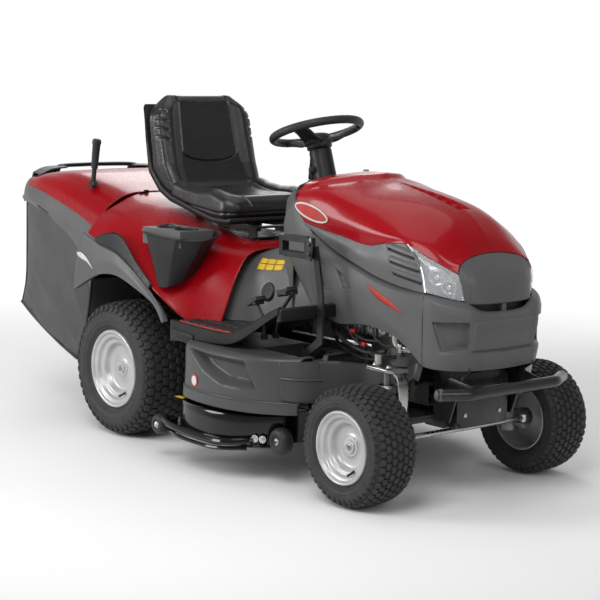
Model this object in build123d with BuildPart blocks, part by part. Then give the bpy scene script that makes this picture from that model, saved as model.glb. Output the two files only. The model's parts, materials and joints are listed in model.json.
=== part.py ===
"""Ride-on lawn mower with four-wheel drive, a twin-blade mid-mounted deck and a tipping grass catcher.

Millimetres. +X is the driving direction, +Y the driver's left, +Z up. The origin is on the ground under the
middle of the machine's length and width. Each piece is its own solid and is written to parts/NAME.step.
"""

from math import cos, pi, radians, sin
import os

from build123d import *

# ---------------------------------------------------------------- driving dimensions
REAR_AXLE_X = -335.0
FRONT_AXLE_X = 969.0
REAR_RADIUS, REAR_WIDTH, REAR_TRACK = 253.0, 224.0, 375.0  # track is each wheel's distance from the middle
FRONT_RADIUS, FRONT_WIDTH, FRONT_TRACK = 197.0, 172.0, 404.0
REAR_RIM, FRONT_RIM = 141.0, 115.0  # radius over the rim's flange
FIT = 0.05  # radial play of a running fit
WHEEL_SHAFT, SPINDLE, AXLE_PIVOT = 13.0, 12.5, 15.0  # shaft radii

RAIL_Y, RAIL_Z, RAIL_WALL, RAIL_REAR, RAIL_FRONT = 172.0, 345.0, 5.0, -520.0, 1040.0
KINGPIN_Y, KINGPIN_Z = 288.0, 300.0
ARM_DRAG, ARM_TIE = 44.0, 68.0  # from the kingpin to the drag link's ball and to the tie rod's
SECTOR_PIVOT = (684.0, -120.0)  # x, y
BUMPER_X, BUMPER_Z, BUMPER_RADIUS = 1250.0, 383.0, 19.0
HITCH_HOLE, FRONT_BOLT_HOLE = 19.0, 9.0  # diameters

HOOD_REAR_X, HOOD_HALF_WIDTH = 430.0, 250.0
HOOD_HINGE = (1188.0, 448.0)  # x, z
COLUMN_FOOT, COLUMN_TOP = (330.0, 0.0, 935.0), (288.0, 0.0, 1063.0)
WHEEL_REACH = 234.0  # from the column's foot to the middle of the steering wheel
STEERING_RADIUS, STEERING_GRIP = 158.0, 14.5

SEAT_HINGE, SEAT_HALF_WIDTH = (52.0, 796.0), 242.0
CUP_WELL = 78.0
LEVER_PIVOT = (579.0, 417.0)  # x, z of the cutting-height lever
PEDAL_PIVOT = (505.0, 486.0)  # x, z
PEDALS = {-1: (425.0, 376.0), 1: (395.0,)}  # how far out each side's pedals stand

DECK_X, LOBE_Y, LOBE_RADIUS = 310.0, 262.0, 298.0
DECK_LOW, DECK_TOP, DECK_WALL = 128.0, 232.0, 4.0
BLADE_REACH, BLADE_Z, PULLEY = 255.0, 160.0, 62.0
FRONT_ROLLER = (640.0, 455.0, 155.0, 46.0, 24.0)  # x, distance from the middle, z, radius, half width
REAR_ROLLER = (85.0, 552.0, 127.0, 36.0, 20.0)

CATCHER_PIVOT = (-531.0, 890.0)  # x, z
CATCHER_REAR = -1269.0

PARTS = {}


def keep(builder, name):
    """Labels a finished piece and stores it for export."""
    builder.part.label = name
    PARTS[name] = builder.part


def side(offset_y=0.0):
    """A plane whose first axis is +X and second +Z, standing at offset_y on the machine's width."""
    return Plane((0, offset_y, 0), x_dir=(1, 0, 0), z_dir=(0, -1, 0))


def across(x):
    """A plane whose first axis is +Y and second +Z, standing at x."""
    return Plane((x, 0, 0), x_dir=(0, 1, 0), z_dir=(1, 0, 0))


def outline(plane, points, radius=0.0):
    """A face bounded by straight lines between the points, with its corners rounded if radius is given."""
    with BuildSketch(plane) as face:
        with BuildLine():
            Polyline(*points, close=True)
        make_face()
        if radius:
            fillet(face.vertices(), radius)
    return face.sketch


def slab(plane, points, half, radius=0.0, mode=Mode.ADD):
    """Adds a plate of that outline, half as thick each way from the plane."""
    extrude(outline(plane, points, radius), amount=half, both=True, mode=mode)


def block(low, high, mode=Mode.ADD):
    """Adds an upright box between two opposite corners."""
    size = [high[i] - low[i] for i in range(3)]
    middle = [(high[i] + low[i]) / 2 for i in range(3)]
    with Locations(tuple(middle)):
        Box(*size, mode=mode)


def rod(a, b, radius, mode=Mode.ADD):
    """Adds a round bar from a to b."""
    start, end = Vector(*a), Vector(*b)
    with BuildSketch(Plane(start, z_dir=end - start)) as face:
        Circle(radius)
    extrude(face.sketch, amount=(end - start).length, mode=mode)


def bent_bar(points, bend, radius, wall=0.0):
    """Adds a bar or tube of round section along a bent path."""
    with BuildLine() as path:
        FilletPolyline(*points, radius=bend)
    with BuildSketch(Plane(path.line @ 0, z_dir=path.line % 0)) as face:
        Circle(radius)
        if wall:
            Circle(radius - wall, mode=Mode.SUBTRACT)
    sweep(face.sketch, path=path.line)


def ring_loft(stations):
    """Lofts straight between closed outlines that have as many points each: (plane, points) pairs."""
    loft([outline(plane, points) for plane, points in stations], ruled=True)


def arch(half_width, low, shoulder, top, wall, power=4.0, steps=9):
    """A thin arch's outline: upright walls from low to shoulder, then a rounded crown up to top."""

    def line(w, crown):
        points = [(-w, low)]
        for i in range(steps + 1):
            a = pi * (1 - i / steps)
            bulge = abs(cos(a)) ** (2 / power)
            y = w * bulge * (1 if cos(a) > 0 else -1)
            points.append((y, shoulder + (crown - shoulder) * abs(sin(a)) ** (2 / power)))
        points.append((w, low))
        return points

    return line(half_width, top) + line(half_width - wall, top - wall)[::-1]


def bow(level, centre_x, front_x, half_width, wall, power, first, last, steps=8):
    """A thin bow in plan: part of a rounded front end, from angle first to angle last, 0 being dead ahead."""

    def line(w, f):
        points = []
        for i in range(steps + 1):
            a = first + (last - first) * i / steps
            x = centre_x + (f - centre_x) * abs(cos(a)) ** (2 / power)
            points.append((x, (1 if sin(a) > 0 else -1) * w * abs(sin(a)) ** (2 / power)))
        return points

    return Plane.XY.offset(level), line(half_width, front_x) + line(half_width - wall, front_x - wall)[::-1]


# ---------------------------------------------------------------- frame
def make_frame():
    """Two channel rails with the engine's plate, and the upright rear plate that carries the catcher."""
    with BuildPart() as frame:
        for s in (-1, 1):
            web = s * (RAIL_Y + RAIL_WALL / 2)
            near, far = sorted((web, web - s * RAIL_WALL))
            block((RAIL_REAR, near, RAIL_Z - 35), (RAIL_FRONT, far, RAIL_Z + 35))
            for level in (-1, 1):
                edge = RAIL_Z + level * 32.5
                inner, outer = sorted((s * (RAIL_Y - 26), s * RAIL_Y))
                block((RAIL_REAR, inner, edge - 2.5), (RAIL_FRONT, outer, edge + 2.5))
        block((530, -RAIL_Y - 2, 380), (RAIL_FRONT, RAIL_Y + 2, 386))
        block((0, -RAIL_Y, 310), (50, RAIL_Y, 318))
        block((886, -140, 262), (894, 140, 381))
        rod((880, 0, KINGPIN_Z), (900, 0, KINGPIN_Z), AXLE_PIVOT + FIT, mode=Mode.SUBTRACT)
        rod((SECTOR_PIVOT[0], SECTOR_PIVOT[1], 370), (*SECTOR_PIVOT, 390), 10 + FIT, mode=Mode.SUBTRACT)
        for s in (-1, 1):
            edge = s * 196
            block((566, min(edge, s * 172), 380), (592, max(edge, s * 172), 386))
            block((566, min(edge, edge - s * 8), 380), (592, max(edge, edge - s * 8), 436))
        lx, lz = LEVER_PIVOT
        rod((lx, -200, lz), (lx, 200, lz), 10 + FIT, mode=Mode.SUBTRACT)
    keep(frame, "chassis_frame")

    px, pz = CATCHER_PIVOT
    with BuildPart() as plate:
        block((-527, -220, 235), (-521, 220, 760))
        block((-530, -120, 470), (-518, 120, 670), mode=Mode.SUBTRACT)
        block((-600, -45, 240), (-524, 45, 250))
        with Locations((-575, 0, 250)):
            Hole(HITCH_HOLE / 2, depth=12)
        for s in (-1, 1):
            low, high = sorted((s * 187, s * 200))
            block((-536, low, 740), (-521, high, pz + 11))
            rod((px, s * 188, pz), (px, s * 222, pz), 6)
    keep(plate, "rear_plate")


def make_front_bracket():
    """The folded steel nose of the frame with the hood's hinge pin, and the bumper bar on its two arms."""
    hx, hz = HOOD_HINGE
    with BuildPart() as bracket:
        slab(side(), [(1046, 262), (1085, 237), (1112, 237), (1112, 405), (1100, 420), (1046, 425)], 117)
        block((1052, -112, 256), (1108, 112, 402), mode=Mode.SUBTRACT)
        for s in (-1, 1):
            low = [(1041, 311), (1046, 262), (1112, 262), (1150, 370), (1166, 420), (hx + 8, hz - 8)]
            slab(side(s * 145), low + [(hx + 8, hz + 9), (1160, 464), (1041, 425)], 4)
        block((1046, -146, 404), (1056, 146, 420))
        rod((hx, -150, hz), (hx, 150, hz), 5)
        rod((1040, 0, KINGPIN_Z), (1060, 0, KINGPIN_Z), AXLE_PIVOT + FIT, mode=Mode.SUBTRACT)
        for y, z in ((-80, 280), (80, 280), (-80, 370), (80, 370)):
            rod((1100, y, z), (1120, y, z), FRONT_BOLT_HOLE / 2, mode=Mode.SUBTRACT)
    keep(bracket, "front_bracket")

    back, front, z = BUMPER_X - 52, BUMPER_X, BUMPER_Z
    with BuildPart() as bumper:
        bent_bar([(back, -292, z), (front, -200, z), (front, 200, z), (back, 292, z)], 60, BUMPER_RADIUS, 2.5)
        for s in (-1, 1):
            slab(side(s * 153), [(1120, 350), (front - 17, z - 9), (front - 17, z + 9), (1120, 420)], 3)
    keep(bumper, "bumper_bar")


# ---------------------------------------------------------------- driveline
def make_transaxle():
    """The hydrostatic transaxle with its pump housing and trumpets, and the tunnel for cut grass above."""
    x, z = REAR_AXLE_X, REAR_RADIUS
    with BuildPart() as axle:
        block((x - 95, -105, z - 55), (x + 95, 105, z + 50))
        fillet(axle.edges().filter_by(Axis.Y), 30)
        rod((x + 70, 60, z), (x + 70, 60, z + 56), 46)
        rod((x, -208, z), (x, 208, z), 36)
        for s in (-1, 1):
            low, high = sorted((s * 146, s * 174))
            block((x - 35, low, z + 20), (x + 35, high, RAIL_Z - 36))
            rod((x, s * 118, z), (x, s * 215, z), WHEEL_SHAFT + FIT, mode=Mode.SUBTRACT)
    keep(axle, "transaxle")

    def mouth(x, low, high, half):
        outer = [(-half, low), (half, low), (half, high), (-half, high)]
        return outline(across(x), outer)

    with BuildPart() as tunnel:
        loft([mouth(-30, 258, 400, 140), mouth(-514, 462, 678, 126)], ruled=True)
        loft([mouth(-28, 262, 396, 136), mouth(-516, 466, 674, 122)], ruled=True, mode=Mode.SUBTRACT)
    keep(tunnel, "grass_tunnel")


def tyre_outline(radius, half, rim):
    """A tyre section as (distance from the axle, along the axle), hollow inside and open at the beads."""
    outside = [
        (rim + 3, half - 16),
        (rim + 20, half - 4),
        (radius - 46, half),
        (radius - 18, half - 5),
        (radius - 4, half - 22),
        (radius, half - 50),
    ]
    inside = [
        (radius - 14, half - 54),
        (radius - 20, half - 28),
        (radius - 48, half - 13),
        (rim + 22, half - 18),
        (rim + 1, half - 22),
    ]
    upper = outside[::-1] + []
    return [(r, -a) for r, a in outside] + upper + inside[::-1] + [(r, -a) for r, a in inside]


def turned(points, x, y, z):
    """Revolves a section given as (distance from the axle, along the axle) about the axle at x, z."""
    face = outline(Plane((x, y, z), x_dir=(0, 0, 1), z_dir=(-1, 0, 0)), points)
    revolve(face, axis=Axis((x, y, z), (0, 1, 0)), revolution_arc=360)


def make_wheel(place, x, y, radius, width, rim, shaft_start):
    """A tyre on its pressed rim, with the disc, hub, valve hole and the drive shaft that turns with it."""
    out = 1 if y > 0 else -1
    half = width / 2
    ledge, well, wall = half - 16, rim - 30, 4.0
    with BuildPart() as tyre:
        turned(tyre_outline(radius, half, rim), x, y, radius)
    keep(tyre, place.replace("WHEEL", "tyre"))

    section = [
        (rim, ledge + 4),
        (rim + 0.6, ledge - 1),
        (rim - 6, ledge - 4),
        (rim - 6, ledge - 22),
        (well, ledge - 38),
    ]
    rear_side = [(r, -a) for r, a in section[::-1]]
    inner = [(r - wall, -a) for r, a in section]
    with BuildPart() as wheel:
        turned(section + rear_side + inner + [(r, -a) for r, a in inner[::-1]], x, y, radius)
        disc = y + out * ledge * 0.1
        rod((x, disc - 3, radius), (x, disc + 3, radius), well - 1)
        reach = Plane((x + (well - 20) * 0.55, disc, radius - (well - 20) * 0.83), z_dir=(0, 1, 0))
        with BuildSketch(reach) as valve:
            Circle(6)
        extrude(valve.sketch, amount=60, both=True, mode=Mode.SUBTRACT)
        rod((x, disc - out * 26, radius), (x, disc + out * 34, radius), 27)
        rod((x, out * shaft_start, radius), (x, y + out * 54, radius), WHEEL_SHAFT)
        rod((x, disc + out * 30, radius), (x, y + out * 50, radius), 20)
    keep(wheel, place.replace("WHEEL", "rim"))


def make_wheels():
    for label, s in (("right", -1), ("left", 1)):
        make_wheel("rear_WHEEL_" + label, REAR_AXLE_X, s * REAR_TRACK, REAR_RADIUS, REAR_WIDTH, REAR_RIM, 122)
        make_wheel("front_WHEEL_" + label, FRONT_AXLE_X, s * FRONT_TRACK, FRONT_RADIUS, FRONT_WIDTH, FRONT_RIM, 306)


def make_front_axle():
    """The driven front axle that rocks on its pivot, and the two steering knuckles on its kingpins."""
    x = FRONT_AXLE_X
    with BuildPart() as axle:
        block((x - 60, -68, 216), (x + 60, 68, 322))
        fillet(axle.edges().filter_by(Axis.Y), 22)
        rod((x - 96, 0, KINGPIN_Z), (x + 86, 0, KINGPIN_Z), AXLE_PIVOT)
        for s in (-1, 1):
            rod((x, s * 60, 262), (x, s * (KINGPIN_Y - 24), 262), 26)
            rod((x, s * KINGPIN_Y, 236), (x, s * KINGPIN_Y, 322), 28)
            rod((x, s * KINGPIN_Y, 230), (x, s * KINGPIN_Y, 330), 12 + FIT, mode=Mode.SUBTRACT)
    keep(axle, "front_axle")

    for label, s in (("right", -1), ("left", 1)):
        y = s * KINGPIN_Y
        with BuildPart() as knuckle:
            rod((x, y, 164), (x, y, 435), 12)
            rod((x, y, 164), (x, y, 235), 32)
            rod((x, y, FRONT_RADIUS), (x, s * (FRONT_TRACK - 28), FRONT_RADIUS), 31)
            end = s * (FRONT_TRACK - 20)
            rod((x, s * 302, FRONT_RADIUS), (x, end, FRONT_RADIUS), WHEEL_SHAFT + FIT, mode=Mode.SUBTRACT)
            block((x - 66, y - 32, 426), (x + 62, y + 32, 434))
            arm_low, arm_high = sorted((y - 14, y + 14))
            block((x + 10, arm_low, 184), (x + 86, arm_high, 196))
            tie = 6 + FIT if s > 0 else 9
            rod((x + ARM_TIE, y, 180), (x + ARM_TIE, y, 200), tie, mode=Mode.SUBTRACT)
            if s < 0:
                rod((x - ARM_DRAG, y, 420), (x - ARM_DRAG, y, 440), 6 + FIT, mode=Mode.SUBTRACT)
        keep(knuckle, "knuckle_" + label)


def make_steering():
    """The steering wheel on its shaft, and the tapered column that the shaft turns in."""
    foot, top = Vector(*COLUMN_FOOT), Vector(*COLUMN_TOP)
    axis = (top - foot).normalized()
    hub = foot + axis * WHEEL_REACH
    across_wheel = Plane(hub, x_dir=(0, 1, 0), z_dir=axis)
    boss = hub - axis * 66
    with BuildPart() as wheel:
        start = hub + across_wheel.x_dir * STEERING_RADIUS
        with BuildSketch(Plane(start, x_dir=across_wheel.x_dir, z_dir=across_wheel.y_dir)) as grip:
            Circle(STEERING_GRIP)
        revolve(grip.sketch, axis=Axis(hub, axis), revolution_arc=360)
        rod(tuple(boss), tuple(hub - axis * 24), 50)
        for turn in (200, 340, 90):
            out = across_wheel.x_dir * cos(radians(turn)) + across_wheel.y_dir * sin(radians(turn))
            rod(tuple(hub - axis * 42 + out * 30), tuple(hub + out * (STEERING_RADIUS - 2)), 10)
        rod(tuple(foot - axis * 60), tuple(boss + axis * 4), 9)
    keep(wheel, "steering_wheel")

    def ring(distance, outer, inner):
        with BuildSketch(Plane(foot + axis * distance, z_dir=axis)) as face:
            Circle(outer)
            Circle(inner, mode=Mode.SUBTRACT)
        return face.sketch

    length = (boss - foot).dot(axis)
    with BuildPart() as column:
        loft([ring(-20, 42, 36), ring(length - 3, 38, 32)], ruled=True)
        for distance in (0, length - 15):
            extrude(ring(distance, 37, 9 + FIT), amount=8)
    keep(column, "steering_column")


def make_linkage():
    """The sector arm under the dash, the drag link to the right knuckle, and the tie rod."""
    x = FRONT_AXLE_X
    sx, sy = SECTOR_PIVOT
    with BuildPart() as sector:
        rod((sx, sy, 372), (sx, sy, 446), 10)
        block((sx - ARM_DRAG - 16, sy - 15, 436), (sx + 16, sy + 15, 444))
    keep(sector, "sector_arm")

    ball, far = (x - ARM_DRAG, -KINGPIN_Y), (sx - ARM_DRAG, sy)
    with BuildPart() as drag:
        rod((*ball, 456), (*far, 470), 8)
        rod((*ball, 442), (*ball, 474), 14)
        rod((*ball, 420), (*ball, 444), 6)
        rod((*far, 458), (*far, 482), 14)
    keep(drag, "drag_link")

    with BuildPart() as tie:
        rod((x + ARM_TIE, -KINGPIN_Y, 214), (x + ARM_TIE, KINGPIN_Y, 214), 9)
        for s in (-1, 1):
            rod((x + ARM_TIE, s * KINGPIN_Y, 202), (x + ARM_TIE, s * KINGPIN_Y, 226), 14)
            rod((x + ARM_TIE, s * KINGPIN_Y, 180), (x + ARM_TIE, s * KINGPIN_Y, 204), 6)
    keep(tie, "tie_rod")


# ---------------------------------------------------------------- engine
def make_engine():
    """A vertical-shaft V-twin with finned barrels, blower housing and crank pulley, and its exhaust."""
    x, low = 760.0, 386.0
    with BuildPart() as engine:
        rod((x, 0, low), (x, 0, low + 150), 120)
        rod((x, 0, low + 146), (x, 0, low + 160), 100)
        rod((x, 0, low + 158), (x, 0, low + 262), 140)
        for s in (-1, 1):
            out = Vector(cos(pi / 4), s * sin(pi / 4), 0)
            base = Vector(x, 0, low + 85) + out * 92
            for i in range(6):
                with BuildSketch(Plane(base + out * (16 * i), x_dir=(0, 0, 1), z_dir=out)) as fin:
                    RectangleRounded(120, 116, 18)
                extrude(fin.sketch, amount=7)
            rod(tuple(base - out * 12), tuple(base + out * 104), 44)
            with BuildSketch(Plane(base + out * 100, x_dir=(0, 0, 1), z_dir=out)) as head:
                RectangleRounded(110, 100, 14)
            extrude(head.sketch, amount=26)
        block((x - 90, 118, low + 10), (x + 10, 175, low + 90))
    keep(engine, "engine")

    with BuildPart() as muffler:
        block((1000, -150, 515), (1090, 150, 605))
        fillet(muffler.edges().filter_by(Axis.Y), 30)
        bent_bar([(1040, -140, 545), (1040, -192, 545), (1040, -192, 486), (950, -192, 486)], 22, 17, 2)
    keep(muffler, "muffler")


def make_tanks():
    """The fuel tank and the battery side by side under the seat."""
    with BuildPart() as tank:
        block((-265, 25, 600), (-35, 160, 715))
        fillet(tank.edges(), 18)
        rod((-150, 110, 712), (-150, 110, 738), 30)
    keep(tank, "fuel_tank")
    with BuildPart() as battery:
        block((-255, -160, 600), (-65, -30, 725))
        for x in (-230, -90):
            rod((x, -60, 724), (x, -60, 738), 8)
    keep(battery, "battery")


# ---------------------------------------------------------------- hood
def make_hood():
    """The tilting hood: painted top, grey surround, headlights and lower cowl, all thin shells."""
    wall = 4.0
    # x, half width, lower edge of the painted top, shoulder height, crown height, roundness
    stations = (
        (HOOD_REAR_X, 250, 873, 900, 1010, 6.5),
        (540, 250, 856, 890, 1028, 6.0),
        (620, 250, 843, 880, 1024, 5.5),
        (700, 250, 832, 860, 1004, 4.6),
        (810, 250, 816, 845, 990, 4.0),
        (950, 246, 834, 836, 960, 3.2),
        (1050, 232, 808, 810, 912, 2.6),
        (1110, 205, 776, 778, 862, 2.3),
        (1140, 172, 754, 756, 820, 2.2),
    )
    with BuildPart() as top:
        ring_loft([(across(x), arch(w, low, sh, t, wall, n)) for x, w, low, sh, t, n in stations])
    keep(top, "hood_top")

    edge = [
        (HOOD_REAR_X, 869),
        (540, 852),
        (620, 839),
        (700, 828),
        (810, 812),
        (950, 829),
        (986, 822),
        (1052, 690),
        (1056, 452),
        (1005, 503),
        (940, 533),
        (790, 551),
        (660, 538),
        (545, 557),
        (485, 700),
    ]
    with BuildPart() as surround:
        for s in (-1, 1):
            slab(side(s * (HOOD_HALF_WIDTH - 3)), edge, 2)
        ring_loft([bow(z, 1000, f, w, wall, 2.8, -a, a) for z, f, w, a in (
            (656, 1194, 240, 0.50), (720, 1180, 238, 0.52), (792, 1144, 232, 0.50))])
    keep(surround, "hood_surround")

    with BuildPart() as lamps:
        for s in (-1, 1):
            spans = ((672, 1192, 244, 0.62, 1.20), (740, 1172, 242, 0.66, 1.32), (798, 1130, 238, 0.90, 1.42))
            ring_loft([bow(z, 1000, f, w, wall, 2.6, s * a, s * b) for z, f, w, a, b in spans])
    keep(lamps, "headlight_lenses")

    hx, hz = HOOD_HINGE
    with BuildPart() as cowl:
        levels = ((440, 1212, 249), (520, 1207, 249), (600, 1214, 251), (650, 1207, 249))
        ring_loft([bow(z, 1060, f, w, wall, 3.2, -pi / 2, pi / 2, 18) for z, f, w in levels])
        for s in (-1, 1):
            low, high = sorted((s * 124, s * 132))
            block((hx - 10, low, hz - 8), (1206, high, 480))
            low, high = sorted((s * 136, s * 155))
            block((hx - 60, low, hz - 20), (hx + 60, high, hz + 24), mode=Mode.SUBTRACT)
        rod((hx, -140, hz), (hx, 140, hz), 5 + FIT, mode=Mode.SUBTRACT)
    keep(cowl, "front_cowl")


# ---------------------------------------------------------------- driver's place
def make_dash():
    """The dash round the steering column, and the cover between the driver's feet."""
    foot, top = Vector(*COLUMN_FOOT), Vector(*COLUMN_TOP)
    axis = (top - foot).normalized()
    stations = ((268, 150, 560, 800, 905), (340, 205, 560, 850, 965), (HOOD_REAR_X - 5, 238, 560, 900, 1000))
    with BuildPart() as dash:
        ring_loft([(across(x), arch(w, low, sh, t, 4, 5)) for x, w, low, sh, t in stations])
        rod(tuple(foot - axis * 60), tuple(foot + axis * 90), 43, mode=Mode.SUBTRACT)
        block((345, -117, 900), (395, -103, 1010), mode=Mode.SUBTRACT)
        rod((360, 110, 900), (360, 110, 1010), 9 + FIT, mode=Mode.SUBTRACT)
        rod((360, 150, 900), (360, 150, 1010), 8 + FIT, mode=Mode.SUBTRACT)
    keep(dash, "dash_panel")

    with BuildPart() as cover:
        stations = ((92, 205, 500, 640, 740), (180, 190, 500, 640, 735), (264, 175, 500, 640, 735))
        ring_loft([(across(x), arch(w, low, sh, t, 4, 5)) for x, w, low, sh, t in stations])
    keep(cover, "tunnel_cover")


def make_fender():
    """The painted rear body, its grey wheel-arch trims and the black cup-holder tray."""
    x_tray, half_tray = (-175, 55), (300, 452)
    stations = (
        (-515, 470, 790, 800, 880, 4),
        (-420, 470, 775, 790, 868, 4),
        (-340, 468, 745, 760, 800, 5),
        (-120, 445, 640, 700, 785, 4),
        (0, 420, 500, 680, 775, 4),
        (110, 390, 500, 640, 752, 4),
    )
    with BuildPart() as fender:
        ring_loft([(across(x), arch(w, low, sh, t, 4, n)) for x, w, low, sh, t, n in stations])
        block((-392, -136, 690), (75, 136, 900), mode=Mode.SUBTRACT)
        block((x_tray[0] - 1, -470, 600), (x_tray[1] + 1, -half_tray[0] + 1, 900), mode=Mode.SUBTRACT)
        block((-215, 321, 700), (-130, 339, 860), mode=Mode.SUBTRACT)
    keep(fender, "rear_fender")

    shape = [
        (-600, 742),
        (-520, 782),
        (-330, 738),
        (-190, 662),
        (-126, 634),
        (-20, 520),
        (50, 470),
        (20, 462),
        (-110, 560),
        (-200, 600),
        (-300, 615),
        (-400, 600),
        (-470, 560),
        (-520, 530),
        (-600, 520),
    ]
    with BuildPart() as trims:
        for s in (-1, 1):
            slab(side(s * 477), [(max(x, -540), z) for x, z in shape[1:-1]] + [(-540, 525), (-540, 778)], 4)
    keep(trims, "wheel_arch_trims")

    with BuildPart() as tray:
        block((x_tray[0], -half_tray[1], 742), (x_tray[1], -half_tray[0], 800))
        for x in (-118, -12):
            with Locations((x, -376, 800)):
                Hole(CUP_WELL / 2, depth=48)
    keep(tray, "cup_holder")


def foot_profile(drop):
    """The footplate's side outline: level, then a ramp up at the front, as thick as drop."""
    top = [(55, 480), (388, 456), (555, 552), (655, 602)]
    return top + [(x, z - drop) for x, z in top[::-1]]


def make_footplates():
    """The footplates with their raised front ends and pedal pins, and the covers above the deck."""
    with BuildPart() as plates:
        for s in (-1, 1):
            slab(side(s * 350), foot_profile(7), 138)
            slab(side(s * 485), foot_profile(42), 3)
            low, high = sorted((s * 200, s * 256))
            block((520, low, 430), (660, high, 620), mode=Mode.SUBTRACT)
            for y in PEDALS[s]:
                block((492, s * y - 8, 470), (548, s * y + 8, 600), mode=Mode.SUBTRACT)
        for s in (-1, 1):
            for y in PEDALS[s]:
                px, pz = PEDAL_PIVOT
                for lug in (-1, 1):
                    low, high = sorted((s * y + lug * 9, s * y + lug * 15))
                    block((px - 12, low, pz - 10), (px + 12, high, 517))
                rod((px, s * y - 12, pz), (px, s * y + 12, pz), 5)
    keep(plates, "footplates")

    with BuildPart() as covers:
        for s in (-1, 1):
            curve = [(140, 400), (190, 470), (260, 522), (360, 550), (480, 545), (590, 505), (690, 420)]
            inner = [(x + 6 if x < 300 else x - 6 if x > 500 else x, y - 6) for x, y in curve]
            ring = [(x, s * y) for x, y in curve] + [(x, s * y) for x, y in inner[::-1]]
            extrude(outline(Plane.XY.offset(246), ring), amount=154)
            lid = [(140, s * 200)] + [(x, s * y) for x, y in curve] + [(690, s * 200)]
            extrude(outline(Plane.XY.offset(396), lid), amount=4)
            under = [(688, 396), (760, 390), (930, 399), (1010, 440), (1030, 420)]
            over = [(1030, 428), (1008, 456), (925, 410), (760, 402), (688, 402)]
            slab(side(s * 193), under + over, 7)
    keep(covers, "deck_covers")


def make_seat():
    """The seat: bracket, tilting frame with rails, sliding pan and padded cushion."""
    hx, hz = SEAT_HINGE
    with BuildPart() as bracket:
        block((-300, -130, 758), (60, 130, 764))
        for s in (-1, 1):
            slab(side(s * 118), [(20, 762), (70, 762), (70, hz + 8), (hx - 12, hz + 8)], 3)
            rod((hx, s * 90, hz), (hx, s * 120, hz), 5)
            rod((-270, s * 100, 763), (-270, s * 100, 786.4), 18)
    keep(bracket, "seat_bracket")

    with BuildPart() as frame:
        for s in (-1, 1):
            low, high = sorted((s * 94, s * 106))
            block((-380, low, 787), (66, high, 805))
            rod((hx, s * 80, hz), (hx, s * 112, hz), 5 + FIT, mode=Mode.SUBTRACT)
        for x in (-370, 0):
            block((x, -96, 791), (x + 30, 96, 799))
    keep(frame, "seat_frame")

    under = [(40, 832), (-20, 812), (-75, 816), (-200, 848), (-378, 900), (-470, 962), (-506, 1240)]
    with BuildPart() as pan:
        inside = [(-498, 1240), (-461, 966), (-374, 908), (-200, 856), (-75, 824), (-22, 820), (38, 840)]
        slab(side(), under + inside, 236)
        for s in (-1, 1):
            low, high = sorted((s * 90, s * 110))
            block((-330, low, 805.6), (-20, high, 811.6))
            web = [(-330, 811), (-330, 888), (-200, 850), (-75, 818), (-30, 814), (-30, 811)]
            slab(side(s * 100), web, 3)
    keep(pan, "seat_pan")

    pad = [
        (-22, 821),
        (38, 841),
        (54, 872),
        (36, 905),
        (-10, 914),
        (-250, 914),
        (-330, 945),
        (-372, 1010),
        (-404, 1130),
        (-430, 1250),
        (-455, 1278),
        (-484, 1264),
        (-493, 1225),
        (-458, 968),
        (-373, 910),
        (-200, 857),
        (-75, 825),
    ]
    with BuildPart() as cushion:
        slab(side(), pad, SEAT_HALF_WIDTH)
    keep(cushion, "seat_cushion")


# ---------------------------------------------------------------- controls
def make_pedal(name, s, y, arm, pad):
    """One pedal: an eye on its pin below the footplate, an arm up through the slot and a ribbed pad."""
    px, pz = PEDAL_PIVOT
    with BuildPart() as pedal:
        rod((px, s * y - 8, pz), (px, s * y + 8, pz), 11)
        points = [(px, s * y, pz + 4)] + [(x, s * y, z) for x, z in arm]
        bent_bar(points, 9, 6)
        (x, z), half, reach = arm[-1], pad / 2, pad * 0.9
        block((x - reach / 2, s * y - half, z - 6), (x + reach / 2, s * y + half, z + 6))
        rod((px, s * y - 10, pz), (px, s * y + 10, pz), 5 + FIT, mode=Mode.SUBTRACT)
    keep(pedal, name)


def make_controls():
    """The cutting-height lever, the pedals, the parking brake, throttle, key and blade switch."""
    px, pz = LEVER_PIVOT
    with BuildPart() as lever:
        shape = [(px - 14, pz - 4), (px + 10, pz - 13), (695, 476), (698, 570), (694, 640)]
        shape += [(662, 800), (636, 800)]
        slab(side(-330), shape + [(668, 638), (668, 492)], 4)
        block((484, -350, 757), (640, -322, 826))
        block((502, -352, 773), (614, -320, 808), mode=Mode.SUBTRACT)
        rod((px, -334, pz), (px, -180, pz), 10)
    keep(lever, "height_lever")

    reverse_y, forward_y = PEDALS[-1]
    make_pedal("forward_pedal", -1, forward_y, [(522, 562), (604, 652), (562, 640)], 54)
    make_pedal("reverse_pedal", -1, reverse_y, [(500, 545), (459, 598)], 40)
    make_pedal("brake_pedal", 1, PEDALS[1][0], [(522, 562), (604, 652), (562, 640)], 60)

    with BuildPart() as park:
        foot, top = Vector(-178, 330, 760), Vector(-146, 330, 1024)
        rod(tuple(foot), tuple(top), 6)
        rod(tuple(foot + (top - foot) * 0.72), tuple(top), 13)
        block((-186, 324, 748), (-170, 336, 766))
    keep(park, "parking_lever")

    with BuildPart() as throttle:
        rod((370, -110, 915), (366, -110, 1016), 4)
        rod((366, -110, 1008), (366, -110, 1030), 9)
    keep(throttle, "throttle_lever")
    with BuildPart() as key:
        rod((360, 150, 930), (360, 150, 1000), 8)
        block((358, 138, 998), (362, 162, 1024))
    keep(key, "ignition_key")
    with BuildPart() as switch:
        rod((360, 110, 930), (360, 110, 996), 9)
        rod((360, 110, 994), (360, 110, 1010), 15)
    keep(switch, "blade_switch")


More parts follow.
